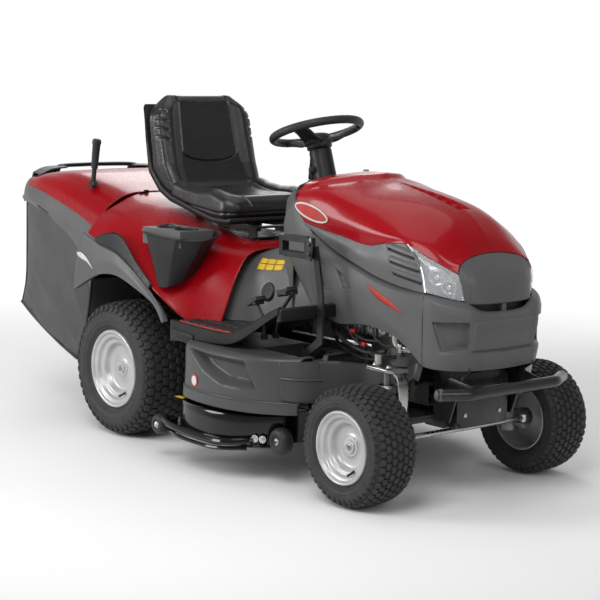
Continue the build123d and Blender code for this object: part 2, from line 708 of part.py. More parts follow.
# ---------------------------------------------------------------- deck
def deck_plan(shrink):
    """The deck seen from above, drawn in by shrink: two round lobes joined behind the middle."""
    with BuildSketch(Plane.XY) as plan:
        with Locations((DECK_X, -LOBE_Y), (DECK_X, LOBE_Y)):
            Circle(LOBE_RADIUS - shrink)
        with Locations((DECK_X - 60, 0)):
            Rectangle(380 - 2 * shrink, 2 * LOBE_Y)
    return plan.sketch


def make_deck():
    """The twin-lobe deck pan with its guard rails and roller pins, belt, blades and anti-scalp rollers."""
    tall = DECK_TOP - DECK_LOW
    rollers = {"front": FRONT_ROLLER, "rear": REAR_ROLLER}
    with BuildPart() as deck:
        extrude(Pos(0, 0, DECK_LOW) * deck_plan(0), amount=tall)
        inner = Pos(0, 0, DECK_LOW - 1) * deck_plan(DECK_WALL)
        extrude(inner, amount=tall - DECK_WALL + 1, mode=Mode.SUBTRACT)
        block((60, -120, DECK_TOP - 20), (130, 120, DECK_TOP + 2), mode=Mode.SUBTRACT)
        for s in (-1, 1):
            rod((DECK_X, s * LOBE_Y, DECK_TOP - 2), (DECK_X, s * LOBE_Y, DECK_TOP + 18), 34)
            spindle = (DECK_X, s * LOBE_Y)
            rod((*spindle, DECK_LOW), (*spindle, DECK_TOP + 20), SPINDLE + FIT, mode=Mode.SUBTRACT)
            fx, fy, fz, fr, fh = FRONT_ROLLER
            rx, ry, rz, rr, rh = REAR_ROLLER
            bar = [(rx + 45, s * (ry + 4), 140), (230, s * 571, 138), (400, s * 571, 138)]
            bar.append((fx - 62, s * (fy + 24), 148))
            bent_bar(bar, 60, 9)
            low, high = sorted((s * (LOBE_Y + 170), s * (fy + 30)))
            block((fx - 76, low, 132), (fx - 60, high, 168))
            inner, outer = sorted((s * (fy - fh - 12), s * (fy - fh - 4)))
            block((fx - 76, inner, 145), (fx + 10, outer, 172))
            rod((fx, s * (fy - fh - 8), fz), (fx, s * (fy + fh + 3), fz), 6)
            inner, outer = sorted((s * (ry - rh - 12), s * (ry - rh - 4)))
            block((rx - 10, inner, rz - 10), (rx + 60, outer, rz + 30))
            low, high = sorted((s * (ry - rh - 12), s * (ry + 8)))
            block((rx + 44, low, rz), (rx + 60, high, rz + 26))
            rod((rx, s * (ry - rh - 8), rz), (rx, s * (ry + rh + 3), rz), 6)
            for x in (130, 490):
                low, high = sorted((s * 186, s * 194))
                block((x - 20, low, DECK_TOP - 1), (x + 20, high, DECK_TOP + 60))
    keep(deck, "deck_shell")

    for label, s in (("right", -1), ("left", 1)):
        y = s * LOBE_Y
        with BuildPart() as blade:
            block((DECK_X - BLADE_REACH, y - 30, BLADE_Z - 3), (DECK_X + BLADE_REACH, y + 30, BLADE_Z + 3))
            rod((DECK_X, y, BLADE_Z - 12), (DECK_X, y, DECK_TOP + 44), SPINDLE)
            rod((DECK_X, y, DECK_TOP + 24), (DECK_X, y, DECK_TOP + 42), PULLEY)
        keep(blade, "blade_" + label)
        for place, (x, track, z, radius, half) in rollers.items():
            with BuildPart() as roller:
                middle = s * track
                rod((x, middle - half, z), (x, middle + half, z), radius)
                fillet(roller.edges(), 12)
                rod((x, middle - half - 1, z), (x, middle + half + 1, z), 6 + FIT, mode=Mode.SUBTRACT)
            keep(roller, f"{place}_roller_{label}")

    with BuildPart() as belt:
        with BuildSketch(Plane.XY.offset(DECK_TOP + 26)) as loop:
            with Locations((DECK_X, 0)):
                SlotCenterToCenter(2 * LOBE_Y, 2 * PULLEY + 18, rotation=90)
                SlotCenterToCenter(2 * LOBE_Y, 2 * PULLEY + 1, rotation=90, mode=Mode.SUBTRACT)
        extrude(loop.sketch, amount=14)
    keep(belt, "deck_belt")


# ---------------------------------------------------------------- catcher
def make_catcher():
    """The tipping grass catcher: hard cover with hinge lugs, fabric bag and the pull-out tipping lever."""
    px, pz = CATCHER_PIVOT
    lever_low, lever_high = (-718, -330, 770), (-668, -330, 1090)

    def rear_bow(reach, half):
        points = [(-540, -half), (reach + 90, -half), (reach + 22, -half * 0.6), (reach, -half * 0.2)]
        return outline(Plane.XY.offset(200), points + [(x, -y) for x, y in points[::-1]])

    stations = (
        (-1280, 385, 872, 876, 925, 6),
        (-1060, 390, 852, 868, 945, 6),
        (-880, 390, 826, 850, 958, 6),
        (-720, 390, 795, 830, 935, 6),
        (-545, 390, 742, 800, 905, 6),
    )
    with BuildPart() as cover:
        ring_loft([(across(x), arch(w, low, sh, t, 4, n)) for x, w, low, sh, t, n in stations])
        extrude(rear_bow(CATCHER_REAR, 395), amount=900, mode=Mode.INTERSECT)
        for s in (-1, 1):
            low, high = sorted((s * 205, s * 213))
            block((px - 26, low, pz - 14), (px + 12, high, pz + 12))
            rod((px, s * 204, pz), (px, s * 214, pz), 6 + FIT, mode=Mode.SUBTRACT)
        rod(lever_low, lever_high, 10 + FIT, mode=Mode.SUBTRACT)
    keep(cover, "catcher_cover")

    def bag_shape(gap):
        shape = [(-552, 780), (-560, 740), (-616, 517), (-712, 232), (-1290, 372), (-1290, 862), (-560, 862)]
        return [(x + (gap if x < -1000 else -gap), z + (gap if z < 500 else 0)) for x, z in shape]

    with BuildPart() as bag:
        slab(side(), bag_shape(0), 380)
        extrude(rear_bow(CATCHER_REAR + 6, 380), amount=900, mode=Mode.INTERSECT)
    with BuildPart() as hollow:
        slab(side(), bag_shape(5), 375)
        extrude(rear_bow(CATCHER_REAR + 11, 375), amount=900, mode=Mode.INTERSECT)
    rim = [(-545, 738), (-720, 791), (-880, 822), (-1060, 848), (-1300, 868)]
    rim += [(-1300, 990), (-500, 990), (-500, 724)]
    with BuildPart() as sack:
        add(bag.part)
        add(hollow.part, mode=Mode.SUBTRACT)
        slab(side(), rim, 400, mode=Mode.SUBTRACT)
        block((-640, -126, 462), (-545, 126, 678), mode=Mode.SUBTRACT)
    keep(sack, "catcher_bag")

    with BuildPart() as lever:
        rod(lever_low, lever_high, 10)
        rod((-676, -330, 1000), lever_high, 15)
    keep(lever, "catcher_lever")


def main():
    make_frame()
    make_front_bracket()
    make_transaxle()
    make_wheels()
    make_front_axle()
    make_steering()
    make_linkage()
    make_engine()
    make_tanks()
    make_hood()
    make_dash()
    make_fender()
    make_footplates()
    make_seat()
    make_controls()
    make_deck()
    make_catcher()
    os.makedirs("parts", exist_ok=True)
    for name, part in PARTS.items():
        export_step(part, f"parts/{name}.step")


main()
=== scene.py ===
"""Looks of a ride-on lawn mower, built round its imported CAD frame. Metres; +X forward, +Y the driver's left, +Z up."""
import bmesh
import bpy
import json
from math import cos, hypot, pi, radians, sin
from mathutils import Matrix, Vector
from mathutils.noise import noise

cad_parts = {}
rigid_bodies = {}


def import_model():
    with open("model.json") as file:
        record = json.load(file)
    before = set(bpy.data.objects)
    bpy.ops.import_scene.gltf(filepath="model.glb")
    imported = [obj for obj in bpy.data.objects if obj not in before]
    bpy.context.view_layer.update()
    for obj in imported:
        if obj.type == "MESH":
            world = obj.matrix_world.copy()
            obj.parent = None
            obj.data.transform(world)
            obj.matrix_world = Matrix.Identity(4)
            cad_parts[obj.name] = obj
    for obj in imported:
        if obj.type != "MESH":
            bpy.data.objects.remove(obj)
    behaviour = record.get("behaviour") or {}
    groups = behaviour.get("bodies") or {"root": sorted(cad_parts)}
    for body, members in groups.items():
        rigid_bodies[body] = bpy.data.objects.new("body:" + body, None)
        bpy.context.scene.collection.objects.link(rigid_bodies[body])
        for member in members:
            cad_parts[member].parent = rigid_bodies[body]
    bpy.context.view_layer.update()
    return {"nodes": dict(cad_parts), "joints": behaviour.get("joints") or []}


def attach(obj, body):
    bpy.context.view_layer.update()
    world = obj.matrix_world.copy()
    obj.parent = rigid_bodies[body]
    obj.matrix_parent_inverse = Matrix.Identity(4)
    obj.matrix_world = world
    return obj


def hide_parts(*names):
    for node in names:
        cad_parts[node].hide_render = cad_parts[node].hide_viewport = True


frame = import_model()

bl_info = {
    "name": "Ride-on mower",
    "version": (1, 0),
    "blender": (4, 5, 0),
    "location": "View3D > Sidebar > Mower",
    "description": "Builds the panels, tyres, seat, catcher and fittings of a ride-on mower round its frame",
    "category": "Object",
}

NODES = frame["nodes"]
JOINTS = {joint["name"]: joint for joint in frame["joints"]}
HANDS = ((-1, "right"), (1, "left"))  # which way y points, and the name of that side
MERGE = .00005  # how near two corners of a piece are merged
SEAM = .0004  # and how near the middle plane the two halves of a mirrored shape are joined
WHITE_VIEW = "Standard"


# ---------------------------------------------------------------- shapes
def curve_point(points, t, smooth=True):
    """The point at t, from 0 to 1, on a line through the points: a Catmull-Rom spline, or straight runs."""
    last = len(points) - 1
    place = min(max(t, 0), 1.0) * last
    i = min(int(place), last - 1)
    f = place - i
    b, c = Vector(points[i]), Vector(points[i + 1])
    if not smooth:
        return b.lerp(c, f)
    a = Vector(points[i - 1]) if i else b * 2 - c
    d = Vector(points[i + 2]) if i + 2 <= last else c * 2 - b
    return .5 * (2 * b + (c - a) * f + (2 * a - 5 * b + 4 * c - d) * f * f + (3 * b - a - 3 * c + d) * f**3)


def skin(guides, along, across, smooth_across=True, sculpt=None):
    """A grid drawn over guide curves: along follows each curve, across goes from one curve to the next."""
    bm = bmesh.new()
    bmesh.ops.create_grid(bm, x_segments=along, y_segments=across, size=1.0)
    for vert in bm.verts:
        u, v = (vert.co.x + 1) / 2, (vert.co.y + 1) / 2
        rib = [curve_point(guide, u) for guide in guides]
        vert.co = curve_point(rib, v, smooth_across)
        if sculpt:
            vert.co = sculpt(vert.co.copy(), u, v)
    return bm


def mirrored(bm):
    """Adds the shape's reflection in the machine's middle plane."""
    bmesh.ops.mirror(bm, geom=bm.verts[:] + bm.edges[:] + bm.faces[:], axis="Y", merge_dist=SEAM)
    return bm


def other_side(bm):
    """The shape reflected to the machine's other side."""
    bmesh.ops.scale(bm, vec=(1, -1, 1), verts=bm.verts)
    bmesh.ops.reverse_faces(bm, faces=bm.faces)
    return bm


def joined(*shapes):
    """One bmesh holding all the given ones."""
    whole = bmesh.new()
    for shape in shapes:
        mesh = bpy.data.meshes.new("part")
        shape.to_mesh(mesh)
        shape.free()
        whole.from_mesh(mesh)
        bpy.data.meshes.remove(mesh)
    return whole


def piece(name, bm, material, body, replaces=(), wall=0, sharp=35, outward=None):
    """Makes the finished object: normals, material, smooth shading, modifiers, and the body that it rides on."""
    bmesh.ops.remove_doubles(bm, verts=bm.verts, dist=MERGE)
    bmesh.ops.recalc_face_normals(bm, faces=bm.faces)
    if outward is not None:
        middle = Vector(outward)
        facing = sum((face.calc_center_median() - middle).dot(face.normal) * face.calc_area() for face in bm.faces)
        if facing < 0:
            bmesh.ops.reverse_faces(bm, faces=bm.faces)
    mesh = bpy.data.meshes.new(name)
    bm.to_mesh(mesh)
    bm.free()
    mesh.shade_smooth()
    mesh.set_sharp_from_angle(angle=radians(sharp))
    obj = bpy.data.objects.new(name, mesh)
    bpy.context.scene.collection.objects.link(obj)
    for item in material if isinstance(material, (list, tuple)) else [material]:
        mesh.materials.append(finish_of(item))
    if wall:
        solid = obj.modifiers.new("wall", "SOLIDIFY")
        solid.thickness, solid.offset, solid.use_rim, solid.use_even_offset = wall, -1.0, True, False
    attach(obj, body)
    if replaces:
        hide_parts(*replaces)
    return obj


def plate(outline, low, high, axis="Y", bevel=0, segments=2):
    """A prism: an outline of (x, z) points between two y values, or of (x, y) points between two z values."""
    bm = bmesh.new()
    if axis == "Y":
        ring = [bm.verts.new((x, low, z)) for x, z in outline]
        push = (0, high - low, 0)
    elif axis == "X":
        ring = [bm.verts.new((low, y, z)) for y, z in outline]
        push = (high - low, 0, 0)
    else:
        ring = [bm.verts.new((x, y, low)) for x, y in outline]
        push = (0, 0, high - low)
    face = bm.faces.new(ring)
    grown = bmesh.ops.extrude_face_region(bm, geom=[face])
    bmesh.ops.translate(bm, vec=push, verts=[v for v in grown["geom"] if isinstance(v, bmesh.types.BMVert)])
    bmesh.ops.recalc_face_normals(bm, faces=bm.faces)
    if bevel:
        bmesh.ops.bevel(bm, geom=bm.edges[:], offset=bevel, segments=segments, profile=.5, affect="EDGES", material=-1)
    return bm


def cuboid(low, high, bevel=0, segments=2):
    """An upright box between two corners, with rounded edges."""
    bm = bmesh.new()
    bmesh.ops.create_cube(bm, size=1.0)
    low, high = Vector(low), Vector(high)
    bmesh.ops.scale(bm, vec=high - low, verts=bm.verts)
    bmesh.ops.translate(bm, vec=(low + high) / 2, verts=bm.verts)
    if bevel:
        bmesh.ops.bevel(bm, geom=bm.edges[:], offset=bevel, segments=segments, profile=.5, affect="EDGES", material=-1)
    return bm


def turned(profile, centre, axis=(0, 1, 0), steps=64, closed=False):
    """A body of revolution: (radius, distance along the axis) points spun about the axis through centre."""
    bm = bmesh.new()
    verts = [bm.verts.new((r, 0, h)) for r, h in profile]
    edges = [bm.edges.new(pair) for pair in zip(verts, verts[1:])]
    if closed:
        edges.append(bm.edges.new((verts[-1], verts[0])))
    bmesh.ops.spin(bm, geom=verts + edges, axis=(0, 0, 1), cent=(0, 0, 0), angle=2 * pi, steps=steps, use_merge=True)
    bmesh.ops.remove_doubles(bm, verts=bm.verts, dist=.00002)
    turn = Vector((0, 0, 1)).rotation_difference(Vector(axis)).to_matrix().to_4x4()
    bmesh.ops.transform(bm, matrix=Matrix.Translation(centre) @ turn, verts=bm.verts)
    return bm


def bar(a, b, radius, end=None, sides=20):
    """A round bar from a to b, with its rims eased; end is the radius at b if it tapers."""
    a, b = Vector(a), Vector(b)
    length = (b - a).length
    tip = radius if end is None else end
    ease = min(radius, length) * .12
    profile = [(0, 0), (radius - ease, 0), (radius, ease), (tip, length - ease), (tip - ease, length), (0, length)]
    return turned(profile, a, b - a, sides)


def pipe(points, radius, sides=14, per_run=7):
    """A round tube along a smooth line through the points."""
    spline_points = [Vector(p) for p in points]
    data = bpy.data.curves.new("run", "CURVE")
    data.dimensions, data.bevel_depth, data.bevel_resolution = "3D", radius, max(1, sides // 4 - 1)
    data.use_fill_caps = True
    spline = data.splines.new("POLY")
    count = (len(spline_points) - 1) * per_run + 1
    spline.points.add(count - 1)
    for i, point in enumerate(spline.points):
        point.co = (*curve_point(spline_points, i / (count - 1)), 1)
    obj = bpy.data.objects.new("run", data)
    mesh = bpy.data.meshes.new_from_object(obj)
    bm = bmesh.new()
    bm.from_mesh(mesh)
    bpy.data.objects.remove(obj)
    bpy.data.curves.remove(data)
    bpy.data.meshes.remove(mesh)
    bmesh.ops.remove_doubles(bm, verts=bm.verts, dist=.00002)
    return bm


def bolt(centre, axis, radius, height):
    """A hexagon head on a washer, standing out along the axis."""
    washer = turned([(0, 0), (radius * 1.5, 0), (radius * 1.5, height * .25), (0, height * .25)], centre, axis, 24)
    crown = height * 1.12
    head = turned([(0, height * .2), (radius, height * .2), (radius, height), (radius * .8, crown), (0, crown)],
        centre, axis, 6)
    return joined(washer, head)


def soft_step(value, low, high):
    """0 below low, 1 above high, and smooth between them."""
    t = min(max((value - low) / (high - low), 0), 1.0)
    return t * t * (3 - 2 * t)


# ---------------------------------------------------------------- materials
class Finish:
    """A small builder for one procedural material."""

    def __init__(self, name, color, roughness, metallic=0):
        self.material = bpy.data.materials.new(name)
        self.material.use_nodes = True
        self.tree = self.material.node_tree
        self.shader = self.tree.nodes["Principled BSDF"]
        self.color = tuple(color) + (1.0,)
        self.shader.inputs["Base Color"].default_value = self.color
        self.shader.inputs["Roughness"].default_value = roughness
        self.shader.inputs["Metallic"].default_value = metallic
        self.coords = self.node("ShaderNodeTexCoord").outputs["Object"]
        self.height = None

    def node(self, kind, **inputs):
        """A new node with some of its inputs set."""
        made = self.tree.nodes.new(kind)
        for key, value in inputs.items():
            made.inputs[key.replace("_", " ")].default_value = value
        return made

    def link(self, out, into):
        """Joins one socket to another."""
        self.tree.links.new(out, into)

    def set(self, **values):
        """Sets constants on the shader's own sockets."""
        for key, value in values.items():
            self.shader.inputs[key.replace("_", " ")].default_value = value
        return self

    def noise(self, scale, detail=3.0):
        """Noise in the piece's own coordinates."""
        texture = self.node("ShaderNodeTexNoise", Scale=scale, Detail=detail)
        self.link(self.coords, texture.inputs["Vector"])
        return texture.outputs["Fac"]

    def cells(self, scale):
        """Distance to the nearest grain."""
        texture = self.node("ShaderNodeTexVoronoi", Scale=scale)
        self.link(self.coords, texture.inputs["Vector"])
        return texture.outputs["Distance"]

    def ranged(self, value, low, high, to_low, to_high):
        """A value moved from one range to another."""
        ramp = self.tree.nodes.new("ShaderNodeMapRange")
        for key, number in zip(("From Min", "From Max", "To Min", "To Max"), (low, high, to_low, to_high)):
            ramp.inputs[key].default_value = number
        self.link(value, ramp.inputs["Value"])
        return ramp.outputs["Result"]

    def tint(self, value, other, low=.35, high=.65):
        """Mixes the base colour with another one by a value."""
        mix = self.tree.nodes.new("ShaderNodeMix")
        mix.data_type = "RGBA"
        self.link(self.ranged(value, low, high, 0, 1.0), mix.inputs["Factor"])
        current = self.shader.inputs["Base Color"]
        if current.is_linked:
            self.link(current.links[0].from_socket, mix.inputs[6])
        else:
            mix.inputs[6].default_value = self.color
        mix.inputs[7].default_value = tuple(other) + (1.0,)
        self.link(mix.outputs[2], self.shader.inputs["Base Color"])
        return self

    def rough(self, value, low, high):
        """Lets the roughness run from low to high with a value."""
        self.link(self.ranged(value, .3, .7, low, high), self.shader.inputs["Roughness"])
        return self

    def bump(self, value, strength, distance):
        bump = self.node("ShaderNodeBump", Strength=strength, Distance=distance)
        self.link(value, bump.inputs["Height"])
        previous = self.shader.inputs["Normal"]
        if previous.is_linked:
            self.link(previous.links[0].from_socket, bump.inputs["Normal"])
        self.link(bump.outputs["Normal"], previous)
        return self


def paints():
    """The colours set for the mower's finishes."""
    return bpy.context.scene.mower_paint


def red_paint():
    f = Finish("red_paint", paints().body, .3).set(Specular_IOR_Level=.2, Coat_Weight=.22, Coat_Roughness=.06)
    f.tint(f.noise(3.0, 2.0), (.27, .0003, .004)).rough(f.noise(60.0), .26, .33)
    return f.bump(f.noise(70.0, 1.0), .02, .0004)


def grey_plastic():
    f = Finish("grey_plastic", paints().panel, .42).set(Specular_IOR_Level=.35)
    f.tint(f.noise(5.0), (.09, .091, .093)).rough(f.noise(40.0), .36, .47)
    return f.bump(f.noise(900.0, 2.0), .22, .0003)


def cover_plastic():
    f = Finish("cover_plastic", paints().cover, .36).set(Specular_IOR_Level=.3)
    f.tint(f.noise(5.0), (.058, .059, .061)).rough(f.noise(40.0), .32, .42)
    return f.bump(f.noise(900.0, 2.0), .2, .0003)


def black_plastic():
    f = Finish("black_plastic", (.009, .009, .0095), .38).set(Specular_IOR_Level=.28)
    f.tint(f.noise(8.0), (.012, .012, .0125)).rough(f.noise(50.0), .34, .5)
    return f.bump(f.noise(700.0, 2.0), .3, .0004)


def soft_grip():
    f = Finish("soft_grip", (.022, .0225, .0235), .5).set(Specular_IOR_Level=.35)
    f.tint(f.noise(12.0), (.022, .022, .024)).rough(f.noise(60.0), .42, .58)
    return f.bump(f.cells(900.0), .3, .0004)


def black_steel():
    f = Finish("black_steel", (.007, .007, .0075), .28).set(Specular_IOR_Level=.35, Coat_Weight=.25, Coat_Roughness=.15)
    f.tint(f.noise(9.0), (.02, .02, .021)).rough(f.noise(30.0), .22, .38)
    return f.bump(f.noise(350.0, 1.0), .08, .0004)


def deck_enamel():
    f = Finish("deck_enamel", (.003, .003, .0033), .12).set(Specular_IOR_Level=.3, Coat_Weight=.2, Coat_Roughness=.05)
    f.tint(f.noise(6.0), (.005, .005, .005)).rough(f.noise(20.0), .08, .17)
    return f.bump(f.noise(90.0, 1.0), .06, .0006)


def silver_enamel():
    f = Finish("silver_enamel", paints().rim, .34, .35)
    f.tint(f.noise(14.0), (.43, .43, .435)).rough(f.noise(45.0), .3, .42)
    return f.bump(f.noise(500.0, 1.0), .06, .0003)


def tyre_rubber():
    f = Finish("tyre_rubber", (.025, .025, .0255), .62).set(Specular_IOR_Level=.35)
    f.tint(f.noise(22.0, 4.0), (.034, .034, .0345)).rough(f.noise(70.0), .52, .72)
    return f.bump(f.noise(260.0, 3.0), .35, .0006)


def vinyl():
    f = Finish("vinyl", (.011, .011, .0115), .28).set(Specular_IOR_Level=.5, Sheen_Weight=.03)
    f.tint(f.noise(6.0), (.013, .013, .0135)).rough(f.noise(35.0), .27, .4)
    return f.bump(f.cells(520.0), .28, .0004)


def cast_alloy():
    f = Finish("cast_alloy", (.33, .335, .34), .42, .85)
    f.tint(f.noise(16.0, 4.0), (.2, .2, .205)).rough(f.noise(60.0), .34, .6)
    return f.bump(f.noise(240.0, 3.0), .5, .0008)


def zinc_steel():
    f = Finish("zinc_steel", (.6, .59, .56), .26, 1.0)
    f.tint(f.noise(20.0, 3.0), (.45, .44, .41)).rough(f.noise(80.0), .2, .38)
    return f.bump(f.noise(400.0, 2.0), .1, .0003)


def chrome():
    f = Finish("chrome", (.78, .79, .8), .08, 1.0)
    f.tint(f.noise(10.0), (.7, .71, .72)).rough(f.noise(30.0), .06, .13)
    return f.bump(f.noise(60.0, 1.0), .03, .0003)


def mirror_bowl():
    f = Finish("mirror_bowl", (.42, .44, .46), .16, 1.0)
    f.tint(f.cells(60.0), (.26, .27, .29), .1, .6).rough(f.noise(50.0), .1, .26)
    return f.bump(f.cells(70.0), .3, .0012)


def lens_clear():
    f = Finish("lens_clear", (.92, .95, .97), .03).set(IOR=1.45, Alpha=.22, Coat_Weight=1.0, Coat_Roughness=.02)
    f.rough(f.noise(30.0), .02, .06)
    return f.bump(f.noise(30.0, 1.0), .03, .0005)


def bag_fabric():
    f = Finish("bag_fabric", paints().bag, .74).set(Sheen_Weight=.08)
    threads = f.noise(2300.0, 1.0)
    f.tint(f.noise(7.0, 4.0), (.074, .0755, .075)).tint(threads, (.034, .035, .035), .4, .75)
    return f.bump(threads, .6, .0007)


def rubber_trim():
    f = Finish("rubber_trim", (.012, .012, .012), .55)
    f.tint(f.noise(25.0), (.02, .02, .02)).rough(f.noise(80.0), .45, .65)
    return f.bump(f.noise(500.0), .25, .0004)


# Near-black finish for the back of the nose slot, the cowl's seam lines and the engine bay sheets: painted shade where
# those places fall dark.
def painted_gap_shade():
    f = Finish("painted_gap_shade", (.012, .012, .013), .6)
    f.tint(f.noise(20.0), (.02, .02, .022)).rough(f.noise(40.0), .5, .7)
    return f.bump(f.noise(300.0), .2, .0004)


def amber_mark():
    f = Finish("amber_mark", (.72, .47, .015), .38)
    f.tint(f.noise(20.0), (.66, .42, .012)).rough(f.noise(60.0), .32, .45)
    return f.bump(f.noise(500.0), .05, .0002)


def pale_mark():
    f = Finish("pale_mark", (.62, .62, .62), .3)
    f.tint(f.noise(20.0), (.55, .55, .55)).rough(f.noise(60.0), .25, .36)
    return f.bump(f.noise(500.0), .05, .0002)


def red_mark():
    f = Finish("red_mark", (.45, .02, .012), .35)
    f.tint(f.noise(20.0), (.38, .016, .01)).rough(f.noise(60.0), .3, .42)
    return f.bump(f.noise(500.0), .05, .0002)


FINISHES = {}


def finish_of(make):
    """The material that a maker function makes, made once."""
    if make not in FINISHES:
        FINISHES[make] = make().material
    return FINISHES[make]


def polygon_depth(x, z, corners, edge):
    """1 well inside a polygon, 0 outside it, with a ramp as wide as edge inside its outline."""
    nearest, inside = 1e9, False
    for (ax, az), (bx, bz) in zip(corners, corners[1:] + corners[:1]):
        run = max(1e-9, (bx - ax) ** 2 + (bz - az) ** 2)
        t = min(max(((x - ax) * (bx - ax) + (z - az) * (bz - az)) / run, 0), 1.0)
        nearest = min(nearest, hypot(x - ax - t * (bx - ax), z - az - t * (bz - az)))
        if (az > z) != (bz > z) and x < (bx - ax) * (z - az) / (bz - az) + ax:
            inside = not inside
    return soft_step(nearest, 0, edge) if inside else 0


def line_depth(x, z, start, end, half):
    """1 on a line from start to end, falling to 0 at half its width."""
    (ax, az), (bx, bz) = start, end
    t = min(max(((x - ax) * (bx - ax) + (z - az) * (bz - az)) / ((bx - ax) ** 2 + (bz - az) ** 2), 0), 1.0)
    return 1 - soft_step(hypot(x - ax - t * (bx - ax), z - az - t * (bz - az)), half * .35, half)


# ---------------------------------------------------------------- hood
CROWN = [(.437, 0, 1.008), (.53, 0, 1.019), (.62, 0, 1.02), (.7, 0, 1.006), (.79, 0, .99), (.88, 0, .974), (.97, 0, .95),
    (1.04, 0, .917), (1.1, 0, .867), (1.137, 0, .81)]
UPPER = [(.437, -.12, .998), (.53, -.12, 1.008), (.62, -.11, 1.007), (.7, -.1, .991), (.79, -.1, .976), (.88, -.1, .958),
    (.965, -.1, .936), (1.045, -.1, .898), (1.105, -.095, .846), (1.142, -.09, .802)]
CREASE = [(.437, -.226, .966), (.53, -.222, .976), (.62, -.215, .97), (.7, -.206, .955), (.79, -.2, .938), (.88, -.194, .917),
    (.97, -.186, .89), (1.05, -.178, .85), (1.112, -.168, .802), (1.149, -.15, .782)]
FLANK = [(.437, -.25, .925), (.53, -.251, .92), (.62, -.251, .905), (.7, -.25, .893), (.79, -.249, .877), (.89, -.244, .864),
    (.98, -.23, .855), (1.052, -.207, .827), (1.113, -.186, .784), (1.152, -.163, .766)]
LOWER = [(.437, -.25, .873), (.53, -.251, .858), (.62, -.251, .843), (.7, -.25, .831), (.81, -.249, .815), (.9, -.247, .829),
    (.985, -.24, .833), (1.05, -.224, .806), (1.11, -.198, .775), (1.155, -.17, .75)]
RECESS_REAR, RECESS_FRONT, RECESS_DEPTH = .7, 1.0, .016


def hood_relief(point, u, v):
    """The raised rear part under the wheel, and the long arrow-shaped recess in front of it."""
    edge = .64 - 3.4 * point.y ** 2
    point.z += .012 * (1 - soft_step(point.x, edge - .014, edge + .014)) * (1 - soft_step(abs(point.y), .19, .235))
    share = (point.x - RECESS_REAR) / (RECESS_FRONT - RECESS_REAR)
    if 0 < share < 1.02:
        half = .006 + .03 * share
        across = 1 - soft_step(abs(point.y), half - .005, half + .001)
        point.z -= RECESS_DEPTH * across * soft_step(share, 0, .25) * (1 - soft_step(share, .975, 1.01))
    return point


def make_hood(settings):
    """The painted hood with an oval badge on each side."""
    shell = mirrored(skin([CROWN, UPPER, CREASE, FLANK, LOWER], 170, 92, sculpt=hood_relief))
    piece("hood_shell", shell, red_paint, "hood", ["hood_top"], wall=settings.wall, sharp=50, outward=(.75, 0, .5))
    oval = bmesh.new()
    bmesh.ops.create_circle(oval, cap_ends=True, radius=1.0, segments=48)
    bmesh.ops.scale(oval, vec=(.088, .026, 1), verts=oval.verts)
    rim = bmesh.ops.inset_individual(oval, faces=oval.faces, thickness=.006, depth=0)
    for face in oval.faces:
        face.material_index = 0 if face in rim["faces"] else 1
    tilt = Matrix.Rotation(radians(13), 4, "Y") @ Matrix.Rotation(radians(90), 4, "X")
    for side, name in HANDS:
        badge = oval.copy()
        bmesh.ops.transform(badge, matrix=Matrix.Translation((.536, -.2548, .899)) @ tilt, verts=badge.verts)
        grown = bmesh.ops.extrude_face_region(badge, geom=badge.faces[:])
        bmesh.ops.translate(badge, vec=(0, -.0014, 0), verts=[v for v in grown["geom"] if isinstance(v, bmesh.types.BMVert)])
        if side > 0:
            other_side(badge)
        piece("hood_badge_" + name, badge, [pale_mark, red_mark], "hood")
    oval.free()


# ---------------------------------------------------------------- side panels of the hood
NACELLE = [[(.452, -.246, .874), (.53, -.247, .86), (.62, -.247, .845), (.7, -.246, .833), (.81, -.245, .817), (.9, -.243,
    .831), (.95, -.24, .834), (.994, -.236, .834)], [(.452, -.25, .871), (.535, -.252, .852), (.63, -.253, .825), (.72, -.255,
    .8), (.82, -.256, .776), (.915, -.256, .772), (.99, -.252, .77), (1.052, -.241, .772)], [(.452, -.25, .868), (.54, -.252,
    .838), (.65, -.254, .787), (.76, -.255, .75), (.86, -.256, .721), (.95, -.255, .703), (1.02, -.252, .694), (1.084, -.246,
    .688)]]
GROOVE_FLOOR = [(.456, -.246, .864), (.544, -.238, .829), (.653, -.236, .778), (.762, -.236, .742), (.862, -.238, .713), (.952,
    -.24, .695), (1.022, -.24, .687), (1.084, -.24, .681)]
FLANK_TOP = [(.47, -.248, .852), (.556, -.252, .812), (.66, -.254, .76), (.768, -.255, .726), (.866, -.256, .697), (.955,
    -.255, .682), (1.022, -.252, .676), (1.084, -.246, .673)]
LOWER_FLANK = [FLANK_TOP, [(.502, -.247, .76), (.575, -.254, .745), (.67, -.257, .71), (.77, -.259, .68), (.866, -.259, .65),
    (.955, -.257, .628), (1.022, -.252, .612), (1.082, -.246, .606)], [(.532, -.244, .64), (.59, -.252, .64), (.675, -.256,
    .632), (.77, -.257, .62), (.866, -.256, .596), (.952, -.254, .568), (1.018, -.249, .538), (1.079, -.244, .52)], [(.548,
    -.236, .566), (.605, -.24, .551), (.68, -.243, .537), (.79, -.245, .549), (.87, -.246, .546), (.945, -.246, .532), (1.01,
    -.244, .5), (1.076, -.241, .452)]]
LOUVRES = [((.915, .812), (1.028, .791)), ((.935, .772), (1.055, .751)), ((.952, .735), (1.068, .715))]
POCKETS = [[(.548, .776), (.607, .742), (.646, .648), (.594, .64)], [(.663, .727), (.713, .705), (.75, .665), (.705, .655)]]


def louvre_relief(point, u, v):
    """Sinks the louvres into the upper flank."""
    for start, end in LOUVRES:
        point.y += .01 * line_depth(point.x, point.z, start, end, .0052)
        point.y -= .005 * line_depth(point.x, point.z - .01, start, end, .012)
    return point


def pocket_relief(point, u, v):
    """Sinks the pockets into the lower flank."""
    for corners in POCKETS:
        point.y += .013 * polygon_depth(point.x, point.z, corners, .007)
    return point


